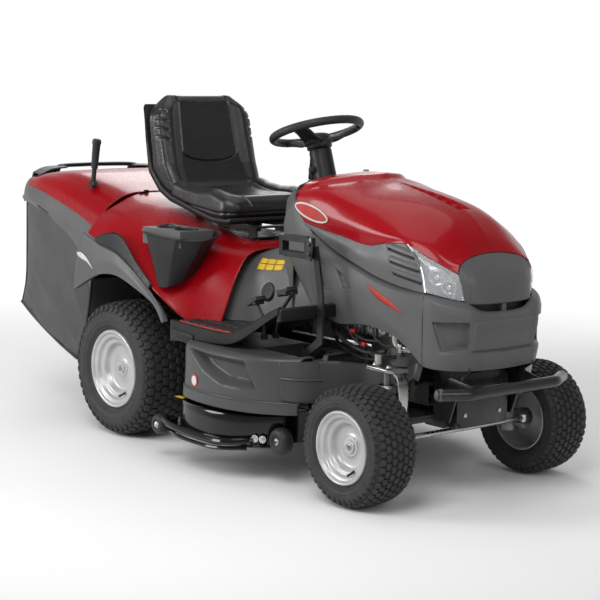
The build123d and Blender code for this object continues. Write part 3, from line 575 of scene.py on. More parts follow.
def make_side_panels(settings):
    """The hood's grey sides: the upper flank with louvres, the groove, the lower flank with pockets."""
    for side, name in HANDS:
        nacelle = skin(NACELLE, 190, 64, sculpt=louvre_relief)
        groove = joined(skin([NACELLE[2], GROOVE_FLOOR], 190, 5, False), skin([GROOVE_FLOOR, FLANK_TOP], 190, 5, False))
        flank = skin(LOWER_FLANK, 190, 110, sculpt=pocket_relief)
        swoosh = skin([[(.826, -.2602, .69), (.875, -.2598, .672), (.935, -.2586, .647), (1.0, -.2555, .611)], [(.826, -.2602,
            .688), (.875, -.2598, .65), (.935, -.2582, .628), (1.0, -.255, .61)]], 30, 4, False)
        shell = joined(nacelle, groove, flank)
        if side > 0:
            other_side(shell)
            other_side(swoosh)
        piece("side_panel_" + name, shell, grey_plastic, "hood", ["hood_surround"] if side < 0 else [],
            wall=settings.wall, sharp=42, outward=(.78, 0, .7))
        piece("side_swoosh_" + name, swoosh, red_mark, "hood", wall=.0006, outward=(.9, 0, .65))


# ---------------------------------------------------------------- nose, headlights and cowl
NOSE_TOP = [(1.1535, -.168, .748), (1.152, -.158, .768), (1.148, -.146, .781), (1.145, -.12, .792), (1.142, -.09, .799),
    (1.139, -.045, .805), (1.138, 0, .807)]
NOSE_MIDDLE = [(1.162, -.16, .712), (1.17, -.15, .72), (1.176, -.14, .725), (1.183, -.118, .73), (1.187, -.09, .733), (1.191,
    -.045, .735), (1.192, 0, .735)]
NOSE_LOW = [(1.168, -.15, .664), (1.175, -.146, .661), (1.183, -.137, .659), (1.193, -.115, .658), (1.199, -.09, .657), (1.204,
    -.045, .657), (1.205, 0, .657)]
NOSE_TUCK = [(1.15, -.146, .657), (1.158, -.142, .655), (1.166, -.133, .654), (1.175, -.112, .652), (1.18, -.09, .651), (1.184,
    -.045, .651), (1.185, 0, .651)]
LAMP_REAR = [(.996, -.24, .832), (1.038, -.241, .798), (1.068, -.2425, .752), (1.085, -.2435, .689)]
LAMP_TOP = [(.996, -.24, .832), (1.05, -.222, .804), (1.11, -.1965, .773), (1.1535, -.168, .748)]
LAMP_FRONT = [(1.1535, -.168, .748), (1.16, -.161, .722), (1.165, -.155, .692), (1.168, -.15, .664)]
LAMP_LOW = [(1.085, -.2435, .689), (1.118, -.213, .679), (1.147, -.181, .67), (1.168, -.15, .664)]
COWL_LEVELS = [[(1.08, -.24, .686), (1.112, -.213, .677), (1.145, -.183, .668), (1.178, -.146, .658), (1.19, -.1, .634),
    (1.198, -.05, .628), (1.2, 0, .627)], [(1.08, -.2475, .672), (1.122, -.236, .662), (1.163, -.203, .652), (1.197, -.157,
    .64), (1.208, -.105, .622), (1.215, -.05, .619), (1.217, 0, .619)], [(1.08, -.25, .65), (1.126, -.2405, .64), (1.17, -.208,
    .628), (1.203, -.16, .612), (1.213, -.105, .602), (1.219, -.05, .6), (1.2205, 0, .6)], [(1.08, -.25, .6), (1.126, -.24,
    .59), (1.169, -.207, .58), (1.201, -.159, .572), (1.211, -.105, .568), (1.217, -.05, .566), (1.2185, 0, .566)], [(1.08,
    -.248, .54), (1.124, -.237, .53), (1.165, -.204, .524), (1.196, -.157, .52), (1.206, -.105, .517), (1.211, -.05, .515),
    (1.213, 0, .515)], [(1.08, -.247, .498), (1.124, -.237, .494), (1.166, -.205, .491), (1.198, -.158, .489), (1.209, -.105,
    .487), (1.215, -.05, .486), (1.217, 0, .486)], [(1.078, -.244, .452), (1.12, -.233, .447), (1.16, -.2, .444), (1.191,
    -.154, .443), (1.201, -.105, .442), (1.206, -.05, .441), (1.208, 0, .441)]]


def cowl_relief(point, u, v):
    """A side pocket each side, and a step above the flared lower lip."""
    low, high = .512 - .02 * (point.x - 1.12), .6 - .02 * (point.x - 1.12)
    corners = [(1.118, high), (1.203, high + .003), (1.197, low + .004), (1.144, low - .008)]
    if point.y < -.13:
        point.x -= .016 * polygon_depth(point.x, point.z, corners, .006)
        point.y += .016 * polygon_depth(point.x, point.z, corners, .006)
    middle = (1 - soft_step(abs(point.y), .138, .145)) * soft_step(point.z, .504, .51)
    point.x += .006 * middle * (1 - soft_step(point.z, .596, .603))
    step = soft_step(point.z, .497, .503)
    point.x -= .007 * step * (1 - soft_step(point.z, .503, .56)) * soft_step(point.x, 1.1, 1.2)
    return point


def make_nose(settings):
    """The nose panel between the headlights and the air slot below it."""
    strip = skin([NOSE_TOP[:3], NOSE_MIDDLE[:3], NOSE_LOW[:3]], 10, 40)
    face = skin([NOSE_TOP[2:], NOSE_MIDDLE[2:], NOSE_LOW[2:]], 60, 46)
    tuck = skin([NOSE_LOW, NOSE_TUCK], 60, 5, False)
    piece("nose_panel", mirrored(joined(strip, face, tuck)), grey_plastic, "hood", wall=settings.wall,
        sharp=30, outward=(1.0, 0, .7))
    # A near-black sheet behind the slot: painted shade inside the air slot.
    slot_shade_sheet = skin([[(1.152, -.147, .672), (1.172, -.08, .672), (1.177, 0, .672)], [(1.152, -.147, .606), (1.172, -.08,
        .606), (1.177, 0, .606)]], 24, 4)
    piece("nose_slot_shade", mirrored(slot_shade_sheet), painted_gap_shade, "hood", wall=.002, outward=(1.0, 0, .65))
    bridge = plate([(1.16, .616), (1.2, .616), (1.197, .662), (1.16, .662)], -.01, .01, bevel=.002)
    piece("nose_bridge", bridge, grey_plastic, "hood")


def fill_patch(rear, top, front, low, along, across, sink=0):
    """A four-sided patch between its edge lines, sunk below them in its middle."""
    bm = bmesh.new()
    bmesh.ops.create_grid(bm, x_segments=along, y_segments=across, size=1.0)
    a, b, c, d = Vector(rear[0]), Vector(top[-1]), Vector(front[-1]), Vector(low[0])
    for vert in bm.verts:
        u, v = (vert.co.x + 1) / 2, (vert.co.y + 1) / 2
        upper, lower = curve_point(top, u), curve_point(low, u)
        left, right = curve_point(rear, v), curve_point(front, v)
        plain = a * (1 - u) * (1 - v) + b * u * (1 - v) + c * u * v + d * (1 - u) * v
        vert.co = upper * (1 - v) + lower * v + left * (1 - u) + right * u - plain
        hump = 16 * u * (1 - u) * v * (1 - v)
        vert.co += Vector((.55, -.78, .3)) * (-sink * min(hump * 1.6, 1.0) if sink > 0 else -sink * hump)
    return bm


def make_headlights(settings):
    """Each headlight: a clear lens over a faceted bowl with two cups, and a bright edge."""
    for side, name in HANDS:
        lens = fill_patch(LAMP_REAR, LAMP_TOP, LAMP_FRONT, LAMP_LOW, 40, 40, sink=-.01)
        bowl = fill_patch(LAMP_REAR, LAMP_TOP, LAMP_FRONT, LAMP_LOW, 36, 36, sink=.038)
        flutes = []
        for centre, radius in (((1.087, -.196, .735), .026), ((1.12, -.176, .705), .022)):
            cup = [(.003, -.012), (radius * .5, -.009), (radius * .85, -.002), (radius, .008), (radius + .002, .008)]
            flutes.append(turned(cup, centre, (.8, -.55, .1), 32))
            flutes.append(turned([(0, .006), (.007, .004), (.0085, -.004), (0, -.01)], centre, (.8, -.55, .1), 20))
        cups = joined(*flutes)
        trim = pipe([(x + .001, y - .0035, z) for x, y, z in LAMP_REAR], .0048, 12, 12)
        if side > 0:
            for shape in (lens, bowl, cups, trim):
                other_side(shape)
        middle = (1.0, 0, .7)
        hides = ["headlight_lenses"] if side < 0 else []
        piece("headlight_lens_" + name, lens, lens_clear, "hood", hides, wall=.002, outward=middle)
        piece("headlight_bowl_" + name, bowl, mirror_bowl, "hood", wall=.0015, outward=middle)
        piece("headlight_cups_" + name, cups, chrome, "hood")
        piece("headlight_trim_" + name, trim, chrome, "hood")


def make_cowl(settings):
    """The front cowl, and thin dark lines along the seams at its sides that paint the shade in their gaps."""
    upper = skin(COWL_LEVELS[:3], 130, 24, sculpt=cowl_relief)
    lower = skin(COWL_LEVELS[2:], 130, 90, sculpt=cowl_relief)
    piece("cowl_shell", mirrored(joined(upper, lower)), grey_plastic, "hood", ["front_cowl"],
        wall=settings.wall, sharp=28, outward=(1.0, 0, .56))
    # Thin near-black tubes along the joins to the side panels: painted shade in the seam gaps.
    seam = [(1.0815, -.2468, .676), (1.0818, -.25, .6), (1.0812, -.2482, .54), (1.0795, -.2445, .455)]
    seams = joined(pipe(seam, .0012, 8), other_side(pipe(seam, .0012, 8)))
    piece("cowl_seam_shade", seams, painted_gap_shade, "hood")


# ---------------------------------------------------------------- tyres and rims
def tread_line(radius, half, rim):
    """The tyre's outer line from the middle of the tread to the bead, as (distance along the axle, radius)."""
    tall = radius - rim
    return [(0, radius - .008), (half * .45, radius - .0095), (half * .78, radius - .016), (half * .92, radius - .027),
        (half * .985, radius - tall * .36), (half, radius - tall * .55), (half * .97, radius - tall * .74), (half * .88,
        rim + tall * .11), (half * .8, rim + .004)]


def make_tyre(name, centre, radius, half, rim, body, settings):
    """A tyre with rows of lozenge tread blocks."""
    outer = [Vector((h, r, 0)) for h, r in tread_line(radius, half, rim)]
    line = [curve_point(outer, i / 40) for i in range(41)]
    for i, ring in ((27, .0014), (31, .0018), (34, -.0012)):
        line[i] = line[i] + Vector((ring, 0, 0))
    right = [(p.y, p.x) for p in line]
    left = [(p.y, -p.x) for p in reversed(line[1:])]
    beads = [(rim - .002, half * .76), (rim - .002, -half * .76)]
    body_of_tyre = turned(left + right + beads, (0, 0, 0), (0, 1, 0), 120, closed=True)
    blocks = bmesh.new()
    arc = sum((b - a).length for a, b in zip(line[:19], line[1:20]))
    rows = settings.rows
    pitch = 2 * pi / settings.count
    for row in range(-rows, rows + 1):
        edge = abs(row) >= rows
        place = abs(row) / (rows + .35)
        run, index = 0, 0
        while index < 19 and run < place * arc:
            run += (line[index + 1] - line[index]).length
            index += 1
        p, q = line[index], line[index + 1]
        side = 1 if row > 0 else -1 if row < 0 else 0
        slope = (q - p).normalized() if side else Vector((1, 0, 0))
        axial, radial = p.x * (side or 1), p.y
        along = Vector((slope.x * (side or 1), slope.y, 0))
        out = Vector((-slope.y * (side or 1), slope.x, 0)) if side else Vector((0, 1, 0))
        if out.y < 0:
            out = -out
        step = arc / (rows + .35)
        wide = step * (.5 if not edge else .46)
        for k in range(settings.count):
            angle = (k + .5 * (row % 2)) * pitch
            span = radial * pitch
            long_half = span * (.46 if not edge else .36)
            outline = [(-wide, -long_half * .42), (-wide * .25, -long_half * .92), (wide * .72, -long_half * .8), (wide,
                long_half * .42), (wide * .25, long_half * .92), (-wide * .72, long_half * .8)]
            top = settings.depth * (1.0 if not edge else .8)
            rings = []
            for lift, scale in ((-.002, 1.06), (top * .72, .96), (top, .8)):
                ring = []
                for a, b in outline:
                    flat = Vector((axial, radial, 0)) + along * (a * scale) + out * lift
                    around = angle + b * scale / radial
                    ring.append(blocks.verts.new((flat.y * cos(around), flat.x, flat.y * sin(around))))
                rings.append(ring)
            for low, high in zip(rings, rings[1:]):
                for i in range(6):
                    j = (i + 1) % 6
                    blocks.faces.new((low[i], low[j], high[j], high[i]))
            blocks.faces.new(rings[-1])
    whole = joined(body_of_tyre, blocks)
    bmesh.ops.translate(whole, vec=centre, verts=whole.verts)
    piece(name, whole, tyre_rubber, body, [name.replace("_tread", "")], sharp=32)


def make_wheels(settings):
    """Four tyres, their pressed rims, nuts and valves."""
    for kind, x, y, radius, half, rim in (("rear", -.335, .375, .253, .112, .141), ("front", .969, .404, .197, .086, .115)):
        for side, name in HANDS:
            centre = (x, side * y, radius)
            body = kind + "_wheel_" + name
            make_tyre(kind + "_tyre_" + name + "_tread", centre, radius, half, rim, body, settings)
            face = side * (y + half * .8)
            out = (0, side, 0)
            dish = [(0, -.03), (.03, -.03), (.034, -.034), (rim * .4, -.038), (rim * .56, -.036), (rim * .62, -.03),
                (rim * .68, -.016), (rim * .76, -.013), (rim * .8, -.009), (rim * .84, 0), (rim * .92, .004), (rim * .955,
                .01), (rim * 1.0, .013), (rim * 1.035, .01), (rim * 1.045, .003), (rim * 1.03, -.004), (rim * .985, -.006),
                (rim * .97, -.03), (rim * .95, -.06), (rim * .95, -half * 1.3), (rim * .985, -half * 1.42), (rim * 1.03,
                -half * 1.5), (rim * 1.04, -half * 1.54), (rim * 1.0, -half * 1.56), (rim * .93, -half * 1.5), (rim * .925,
                -.06), (rim * .8, -.045), (rim * .6, -.046), (0, -.046)]
            smooth_dish = [curve_point([(r, h, 0) for r, h in dish], i / 112) for i in range(113)]
            shell = turned([(max(p.x, 0), p.y) for p in smooth_dish], (x, face, radius), out, 96)
            boss = turned([(0, -.02), (.0115, -.02), (.0125, -.021), (.0125, -.024), (.021, -.024), (.0225, -.0255), (.024,
                -.04)], (x, face, radius), out, 48)
            piece(kind + "_wheel_dish_" + name, joined(shell, boss), silver_enamel, body,
                [kind + "_rim_" + name], sharp=28)
            nut = turned([(0, -.012), (.0066, -.012), (.0076, -.0135), (.0076, -.022), (0, -.022)], (x, face, radius), out, 24)
            ring = turned([(.0085, -.0185), (.0112, -.0185), (.0112, -.021), (.0085, -.021)], (x, face, radius), out, 36,
                closed=True)
            piece(kind + "_wheel_nut_" + name, joined(nut, ring), zinc_steel, body)
            tilt = radians(-62 if side < 0 else -118)
            foot = Vector((x + rim * .7 * cos(tilt), face - side * .018, radius + rim * .7 * sin(tilt)))
            tip = foot + Vector((.01 * cos(tilt), side * .034, .01 * sin(tilt)))
            stem = joined(bar(foot, foot.lerp(tip, .72), .005, .0036), bar(foot.lerp(tip, .68), tip, .0042))
            piece(kind + "_valve_" + name, stem, rubber_trim, body)


# ---------------------------------------------------------------- steering wheel and column
def wheel_frame():
    """The steering wheel's own axes: its hub, its axis, its left and its forward direction."""
    joint = JOINTS["steering_turn"]
    axis = Vector(joint["axis"]).normalized()
    hub = Vector(joint["pos_m"])
    left = Vector((0, 1, 0))
    return hub, axis, left, left.cross(axis).normalized()


def make_steering(settings):
    """The steering wheel's moulding and the ribbed sleeve of its column."""
    hub, axis, left, ahead = wheel_frame()
    radius, grip = .158, .015
    section = [(radius + grip * .98 * cos(t * pi / 8), grip * 1.0 * sin(t * pi / 8)) for t in range(16)]
    rim = turned(section, hub, axis, 110, closed=True)
    place = Matrix.Translation(hub) @ Matrix((ahead, left, axis)).transposed().to_4x4()

    def blade(direction, width_in, width_out, drop):
        """A wide moulded spoke that dips from the rim to the hub."""
        bm = bmesh.new()
        bmesh.ops.create_grid(bm, x_segments=26, y_segments=8, size=1.0)
        for vert in bm.verts:
            t, w = (vert.co.x + 1) / 2, vert.co.y
            reach = .026 + t * (radius - .03)
            wide = width_in + (width_out - width_in) * t ** 1.6
            level = -drop * (1 - soft_step(t, .25, .95)) - .01 * abs(w) ** 3 + (.004 if abs(w) < .45 else 0)
            vert.co = (reach * cos(direction) - w * wide * sin(direction), reach * sin(direction) + w * wide * cos(direction),
                level)
        bmesh.ops.solidify(bm, geom=bm.faces[:], thickness=.008)
        bmesh.ops.transform(bm, matrix=place, verts=bm.verts)
        return bm

    spokes = [blade(radians(a), .03, .024, .024) for a in (62, -62)] + [blade(radians(180), .02, .018, .024)]
    pad_rings = [(0, -.008), (.02, -.008), (.032, -.011), (.043, -.018), (.047, -.03), (.043, -.046), (.034, -.052)]
    pad = turned(pad_rings, (0, 0, 0), (0, 0, 1), 56)
    bmesh.ops.scale(pad, vec=(.82, 1.35, 1.0), verts=pad.verts)
    bmesh.ops.transform(pad, matrix=place, verts=pad.verts)
    skirt = turned([(.034, -.04), (.044, -.048), (.046, -.06), (.042, -.064), (.03, -.064)], hub, axis, 48)
    piece("steering_wheel_moulding", joined(rim, *spokes, pad, skirt), soft_grip, "steering_wheel",
        ["steering_wheel"], sharp=40)
    foot = hub - axis * .3
    sleeve = turned([(.05, -.01), (.05, .02), (.044, .06), (.0415, .11), (.0405, .228), (.036, .232), (.02, .232)], foot, axis,
        56)
    ribs = []
    for k in range(-2, 3):
        side = (left * .0405 * sin(k * .16) - ahead * .0405 * cos(k * .16))
        ribs.append(bar(foot + side * 1.0 + axis * .07, foot + side * 1.0 + axis * .222, .0016, sides=8))
    piece("steering_sleeve", joined(sleeve, *ribs), black_plastic, "chassis")


# ---------------------------------------------------------------- seat
SEAT_BACK = [(-.29, .905), (-.332, .938), (-.372, 1.01), (-.404, 1.13), (-.428, 1.24), (-.44, 1.268), (-.458, 1.276), (-.482,
    1.262), (-.492, 1.225), (-.474, 1.1), (-.452, .985), (-.41, .93), (-.35, .895)]
SEAT_BASE = [(.03, .838), (.05, .866), (.042, .893), (.01, .908), (-.06, .905), (-.16, .9), (-.25, .908), (-.315, .926),
    (-.352, .912), (-.33, .888), (-.2, .852), (-.08, .826), (-.02, .822)]


def padded_block(name, outline, half, settings, shrink):
    """A foam block from its side outline: remeshed, swollen by cloth pressure, and left as a plain mesh."""
    bm = plate(outline, -half + shrink, half - shrink)
    bmesh.ops.bevel(bm, geom=[e for e in bm.edges if abs(e.verts[0].co.y - e.verts[1].co.y) < 1e-5], offset=.026, segments=5,
        profile=.5, affect="EDGES", material=-1)
    mesh = bpy.data.meshes.new(name)
    bm.to_mesh(mesh)
    bm.free()
    obj = bpy.data.objects.new(name, mesh)
    bpy.context.scene.collection.objects.link(obj)
    remesh = obj.modifiers.new("even", "REMESH")
    remesh.mode, remesh.voxel_size = "VOXEL", settings.voxel
    graph = bpy.context.evaluated_depsgraph_get()
    even = bpy.data.meshes.new_from_object(obj.evaluated_get(graph))
    obj.modifiers.clear()
    obj.data = even
    before = [v.co.copy() for v in even.vertices]
    cloth = obj.modifiers.new("swell", "CLOTH")
    cloth.settings.use_pressure, cloth.settings.uniform_pressure_force = True, settings.pressure
    cloth.settings.effector_weights.gravity = 0
    cloth.settings.quality = 4
    cloth.settings.tension_stiffness = cloth.settings.compression_stiffness = 30
    cloth.settings.bending_stiffness = 2.0
    cloth.point_cache.frame_start, cloth.point_cache.frame_end = 1, settings.frames
    scene = bpy.context.scene
    for frame_number in range(1, settings.frames + 1):
        scene.frame_set(frame_number)
    graph = bpy.context.evaluated_depsgraph_get()
    swollen = obj.evaluated_get(graph).to_mesh()
    moved = [v.co.copy() for v in swollen.vertices]
    obj.evaluated_get(graph).to_mesh_clear()
    obj.modifiers.clear()
    for vert, old, new in zip(even.vertices, before, moved):
        push = new - old
        vert.co = old + push * min(1.0, settings.cap / max(push.length, 1e-9))
    scene.frame_set(1)
    bm = bmesh.new()
    bm.from_mesh(even)
    bpy.data.objects.remove(obj)
    for _ in range(12):
        bmesh.ops.smooth_vert(bm, verts=bm.verts, factor=.5, use_axis_x=True, use_axis_y=True, use_axis_z=True)
    return bm


def seam(distance, half=.006):
    """How deep a sewn seam pulls at a distance from its line."""
    return 1 - soft_step(abs(distance), 0, half)


def shape_back(co, normal):
    """Rounded top corners, a pulled-in waist, side bolsters with ribs, and the seam of the middle panel."""
    t = min(max((co.z - .9) / .376, 0), 1)
    limit = .238 - .072 * soft_step(t, .66, 1.0) ** 2 - .012 * (1 - soft_step(t, 0, .3))
    co.y *= limit / .238
    front = normal.x > .25
    y = abs(co.y)
    if front:
        panel = .118 + .022 * (1 - t)
        co.x += .02 * soft_step(y, panel, panel + .05) * (1 - soft_step(t, .86, 1.0))
        low_line = 1.058 - .04 * max(0, 1 - (y / panel) ** 2) ** .5
        deep = seam(y - panel) * (1 - soft_step(1.062 - co.z, 0, .004))
        deep = max(deep, seam(co.z - low_line) * (1 - soft_step(y, panel - .001, panel + .004)))
        co -= normal * (.0085 * deep)
        if y > .185:
            rib = max(seam((co.z - z) - .35 * (y - .185), .007) for z in (1.205, 1.17, 1.135, 1.1))
            co -= normal * (.007 * rib * soft_step(y, .185, .196))
    rear_edge = seam(co.x + .458 + (1.262 - co.z) * -.02, .006) if y > .2 else 0
    co -= normal * .004 * rear_edge
    return co


def shape_base(co, normal):
    """A dished middle between side bolsters, two seams along it, a waterfall front and ribs each side."""
    s = min(max((.052 - co.x) / .37, 0), 1)
    y = abs(co.y)
    limit = .24 - .034 * (1 - soft_step(s, 0, .22)) ** 2
    co.y *= limit / .24
    if normal.z > .25:
        co.z += .026 * soft_step(y, .125, .185) * soft_step(s, .08, .4) - .01 * (1 - soft_step(y, 0, .16)) * soft_step(s, .1,
            .5)
        deep = seam(y - .138 - .02 * s)
        co -= normal * (.0085 * deep)
    edge = seam(co.z - (.852 + .1 * max(0, -co.x - .05)), .006) if normal.z < .5 and co.x > -.33 else 0
    co -= normal * .005 * edge
    return co


def make_seat(settings):
    """The two sewn pads and the moulded shell that holds them."""
    for name, outline, shape in (("seat_back_pad", SEAT_BACK, shape_back), ("seat_base_pad", SEAT_BASE, shape_base)):
        bm = padded_block(name, outline, .236, settings, .006)
        bmesh.ops.recalc_face_normals(bm, faces=bm.faces)
        bmesh.ops.subdivide_edges(bm, edges=bm.edges, cuts=1, use_grid_fill=True, smooth=0)
        bm.normal_update()
        normals = [v.normal.copy() for v in bm.verts]
        for vert, normal in zip(bm.verts, normals):
            vert.co = shape(vert.co.copy(), normal)
        bmesh.ops.smooth_vert(bm, verts=bm.verts, factor=.3, use_axis_x=True, use_axis_y=True, use_axis_z=True)
        pad = piece(name, bm, vinyl, "seat", ["seat_cushion"] if name == "seat_back_pad" else [], sharp=180)
    pan = [(.046, .838), (.052, .824), (.03, .812), (-.06, .812), (-.2, .842), (-.33, .872), (-.4, .905), (-.47, .975), (-.492,
        1.1), (-.506, 1.225), (-.5, 1.236), (-.478, 1.1), (-.45, .99), (-.385, .925), (-.32, .895), (-.19, .862), (-.06, .834),
        (.02, .832)]
    shell = plate(pan, -.226, .226, bevel=.006, segments=2)
    piece("seat_shell", shell, black_plastic, "seat", ["seat_pan"], sharp=40)


# ---------------------------------------------------------------- rear fender, trims and cup tray
FENDER_X = (-.53, -.42, -.3, -.18, -.06, .05, .12, .185)
FENDER_LINES = [[(0, .89), (0, .87), (0, .838), (0, .805), (0, .778), (0, .757), (0, .75), (0, .742)], [(-.22, .887), (-.22,
    .866), (-.22, .83), (-.22, .795), (-.22, .768), (-.22, .75), (-.22, .742), (-.22, .73)], [(-.33, .85), (-.335, .836),
    (-.34, .8), (-.34, .768), (-.33, .735), (-.315, .703), (-.305, .682), (-.29, .66)], [(-.418, .8), (-.425, .78), (-.43,
    .735), (-.425, .68), (-.405, .63), (-.372, .592), (-.352, .575), (-.335, .56)], [(-.462, .748), (-.468, .715), (-.47,
    .682), (-.468, .63), (-.46, .56), (-.425, .488), (-.392, .484), (-.365, .484)]]
TRIM_TOP = [(-.545, .75), (-.43, .712), (-.36, .699), (-.296, .68), (-.19, .628), (-.086, .566), (-.035, .52), (-.004, .474)]
TRIM_LOW = [(-.603, .522), (-.5, .572), (-.419, .601), (-.31, .607), (-.19, .575), (-.086, .536), (-.045, .505), (-.014, .468)]


def make_fender(settings):
    """The painted rear body, its trims, the cup tray and the spring posts."""
    guides = [[(x, y, z) for x, (y, z) in zip(FENDER_X, line)] for line in FENDER_LINES]
    shell = mirrored(skin(guides, 90, 60))
    hole = [f for f in shell.faces if -.392 < f.calc_center_median().x < .075 and abs(f.calc_center_median().y) < .13]
    bmesh.ops.delete(shell, geom=hole, context="FACES")
    piece("fender_shell", shell, red_paint, "chassis", ["rear_fender"], wall=settings.wall, sharp=50,
        outward=(-.15, 0, .4))
    for side, name in HANDS:
        top = [(x, -.472, z) for x, z in TRIM_TOP]
        mid = [((a + c) / 2, -.484, (b + d) / 2) for (a, b), (c, d) in zip(TRIM_TOP, TRIM_LOW)]
        low = [(x, -.478, z) for x, z in TRIM_LOW]
        lip = [(x, -.452, z + .004) for x, z in TRIM_LOW]
        trim = joined(skin([top, mid, low], 70, 16), skin([low, lip], 70, 4, False))
        strip = skin([[(-.47, -.47, .735), (-.375, -.466, .762), (-.3, -.462, .754), (-.2, -.466, .672), (-.098, -.466, .598)],
            [(-.45, -.474, .716), (-.37, -.474, .702), (-.3, -.474, .684), (-.2, -.474, .634), (-.105, -.474, .578)]], 40, 6)
        flare = skin([[(-.57, -.4852, .672), (-.535, -.4852, .672), (-.5, -.4852, .655), (-.46, -.4852, .62)], [(-.565, -.4852,
            .66), (-.535, -.4852, .648), (-.5, -.4852, .64), (-.46, -.4852, .617)]], 24, 3)
        if side > 0:
            for shape in (trim, strip, flare):
                other_side(shape)
        piece("arch_trim_" + name, trim, grey_plastic, "chassis", ["wheel_arch_trims"] if side < 0 else [],
            wall=settings.wall, sharp=40, outward=(-.3, 0, .5))
        piece("arch_strip_" + name, strip, black_plastic, "chassis", wall=.0015, outward=(-.3, 0, .5))
        piece("arch_mark_" + name, flare, pale_mark, "chassis", wall=.0004, outward=(-.5, 0, .6))
    body = bmesh.new()
    ring_top = [(-.215, -.305, .795), (-.235, -.4, .782), (-.14, -.462, .776), (.045, -.462, .77), (.125, -.4, .768), (.09,
        -.305, .792)]
    ring_mid = [(-.19, -.318, .76), (-.205, -.405, .745), (-.12, -.464, .73), (.03, -.464, .725), (.095, -.4, .728), (.07,
        -.318, .75)]
    ring_low = [(-.085, -.345, .64), (-.095, -.42, .61), (-.06, -.462, .59), (-.004, -.463, .596), (.022, -.42, .61), (.015,
        -.345, .64)]
    rings = [[body.verts.new(co) for co in ring] for ring in (ring_top, ring_mid, ring_low)]
    for upper, lower in zip(rings, rings[1:]):
        for i in range(6):
            body.faces.new((upper[i], upper[(i + 1) % 6], lower[(i + 1) % 6], lower[i]))
    body.faces.new(rings[-1])
    bmesh.ops.bevel(body, geom=[e for e in body.edges if len(e.link_faces) == 2], offset=.004, segments=2, profile=.5,
        affect="EDGES", material=-1)
    lip = pipe([Vector(p) + Vector((0, 0, .004)) for p in ring_top] + [Vector(ring_top[0]) + Vector((0, 0, .004))], .0035, 10,
        6)
    piece("tray_body", joined(body, lip), black_plastic, "chassis", sharp=40)
    cups = [turned([(.036, -.044), (.0375, -.004), (.04, .0012), (.0435, .0016), (.045, 0)], (x, -.376, .8006), (0, 0, 1),
        48) for x in (-.118, -.012)]
    piece("tray_cup_rims", joined(*cups), black_plastic, "chassis")
    posts = [bar((-.27, y, .8), (-.27, y, .828), .024) for y in (-.125, .125)]
    piece("seat_springs", joined(*posts), rubber_trim, "chassis")


# ---------------------------------------------------------------- dash sides, tunnel cover and marks
def make_dash(settings):
    """The sides of the dash and the cover between the feet."""
    for side, name in HANDS:
        rear = [(.424, -.236, .968), (.428, -.24, .928), (.385, -.24, .885), (.374, -.24, .826), (.398, -.24, .753), (.47,
            -.236, .65), (.528, -.23, .575)]
        ahead = [(.447, -.2475, .966), (.452, -.249, .925), (.5, -.249, .868), (.545, -.248, .815), (.556, -.244, .745), (.566,
            -.237, .65), (.57, -.233, .575)]
        middle = [((a + d) / 2, (b + e) / 2 - .012, (c + f) / 2) for (a, b, c), (d, e, f) in zip(rear, ahead)]
        inner = [(x + .012, y + .045, z) for x, y, z in rear]
        wing = skin([inner, rear, middle, ahead], 70, 40)
        if side > 0:
            other_side(wing)
        piece("dash_wing_" + name, wing, grey_plastic, "chassis", wall=settings.wall, sharp=60, outward=(.6, 0,
            .7))
    bands = ((.1, (0, .738), (-.12, .732), (-.215, .7), (-.3, .6), (-.35, .484)), (.18, (0, .742), (-.12, .736), (-.205, .706),
        (-.268, .6), (-.31, .482)), (.262, (0, .75), (-.12, .742), (-.198, .706), (-.236, .6), (-.252, .48)), (.38, (0, .752),
        (-.12, .744), (-.195, .712), (-.228, .62), (-.24, .5)), (.52, (0, .752), (-.12, .744), (-.2, .712), (-.222, .62),
        (-.226, .56)))
    guides = [[(x, y, z) for y, z in line] for x, *line in bands]
    cover = mirrored(skin(guides, 60, 60))
    piece("tunnel_skin", cover, grey_plastic, "chassis", ["tunnel_cover"], wall=settings.wall, sharp=50,
        outward=(.25, 0, .4))
    labels = []
    for k in range(2):
        for j in range(3):
            corners = [[curve_point([curve_point(guide, u) for guide in guides], v) for u in (.492 + .056 * k,
                .542 + .056 * k)] for v in (.345 + .108 * j, .446 + .108 * j)]
            labels.append(skin([[p + Vector((0, -.0012, .0008)) for p in edge] for edge in corners], 4, 4, False))
    piece("tunnel_labels", joined(*labels), amber_mark, "chassis", wall=.0004, outward=(.25, 0, .4))
    well = turned([(0, .004), (.03, .003), (.034, -.001), (.036, -.006)], (.285, -.236, .6), (0, -1, .3), 40)
    piece("tunnel_recess", well, black_plastic, "chassis")


# ---------------------------------------------------------------- grass catcher
LID_X = (-.545, -.7, -.86, -1.0, -1.1)
LID_LINES = [[(0, .893), (0, .93), (0, .955), (0, .95), (0, .93)], [(-.24, .889), (-.25, .926), (-.26, .952), (-.26, .946),
    (-.26, .926)], [(-.345, .848), (-.345, .892), (-.345, .928), (-.342, .934), (-.338, .92)], [(-.388, .803), (-.386, .85),
    (-.384, .893), (-.378, .912), (-.368, .906)], [(-.402, .75), (-.402, .803), (-.401, .846), (-.395, .874), (-.384, .88)]]


def bowed(point, u=0, v=0):
    """Bows the catcher's back outwards towards the machine's middle plane."""
    point.x -= .078 * max(0, 1 - (point.y / .38) ** 2) * soft_step(-point.x, .9, 1.12)
    return point


def catcher_side(x):
    """The half-width of the bag's frame at a distance along the machine."""
    return .4 - .03 * soft_step(-x, .95, 1.22)


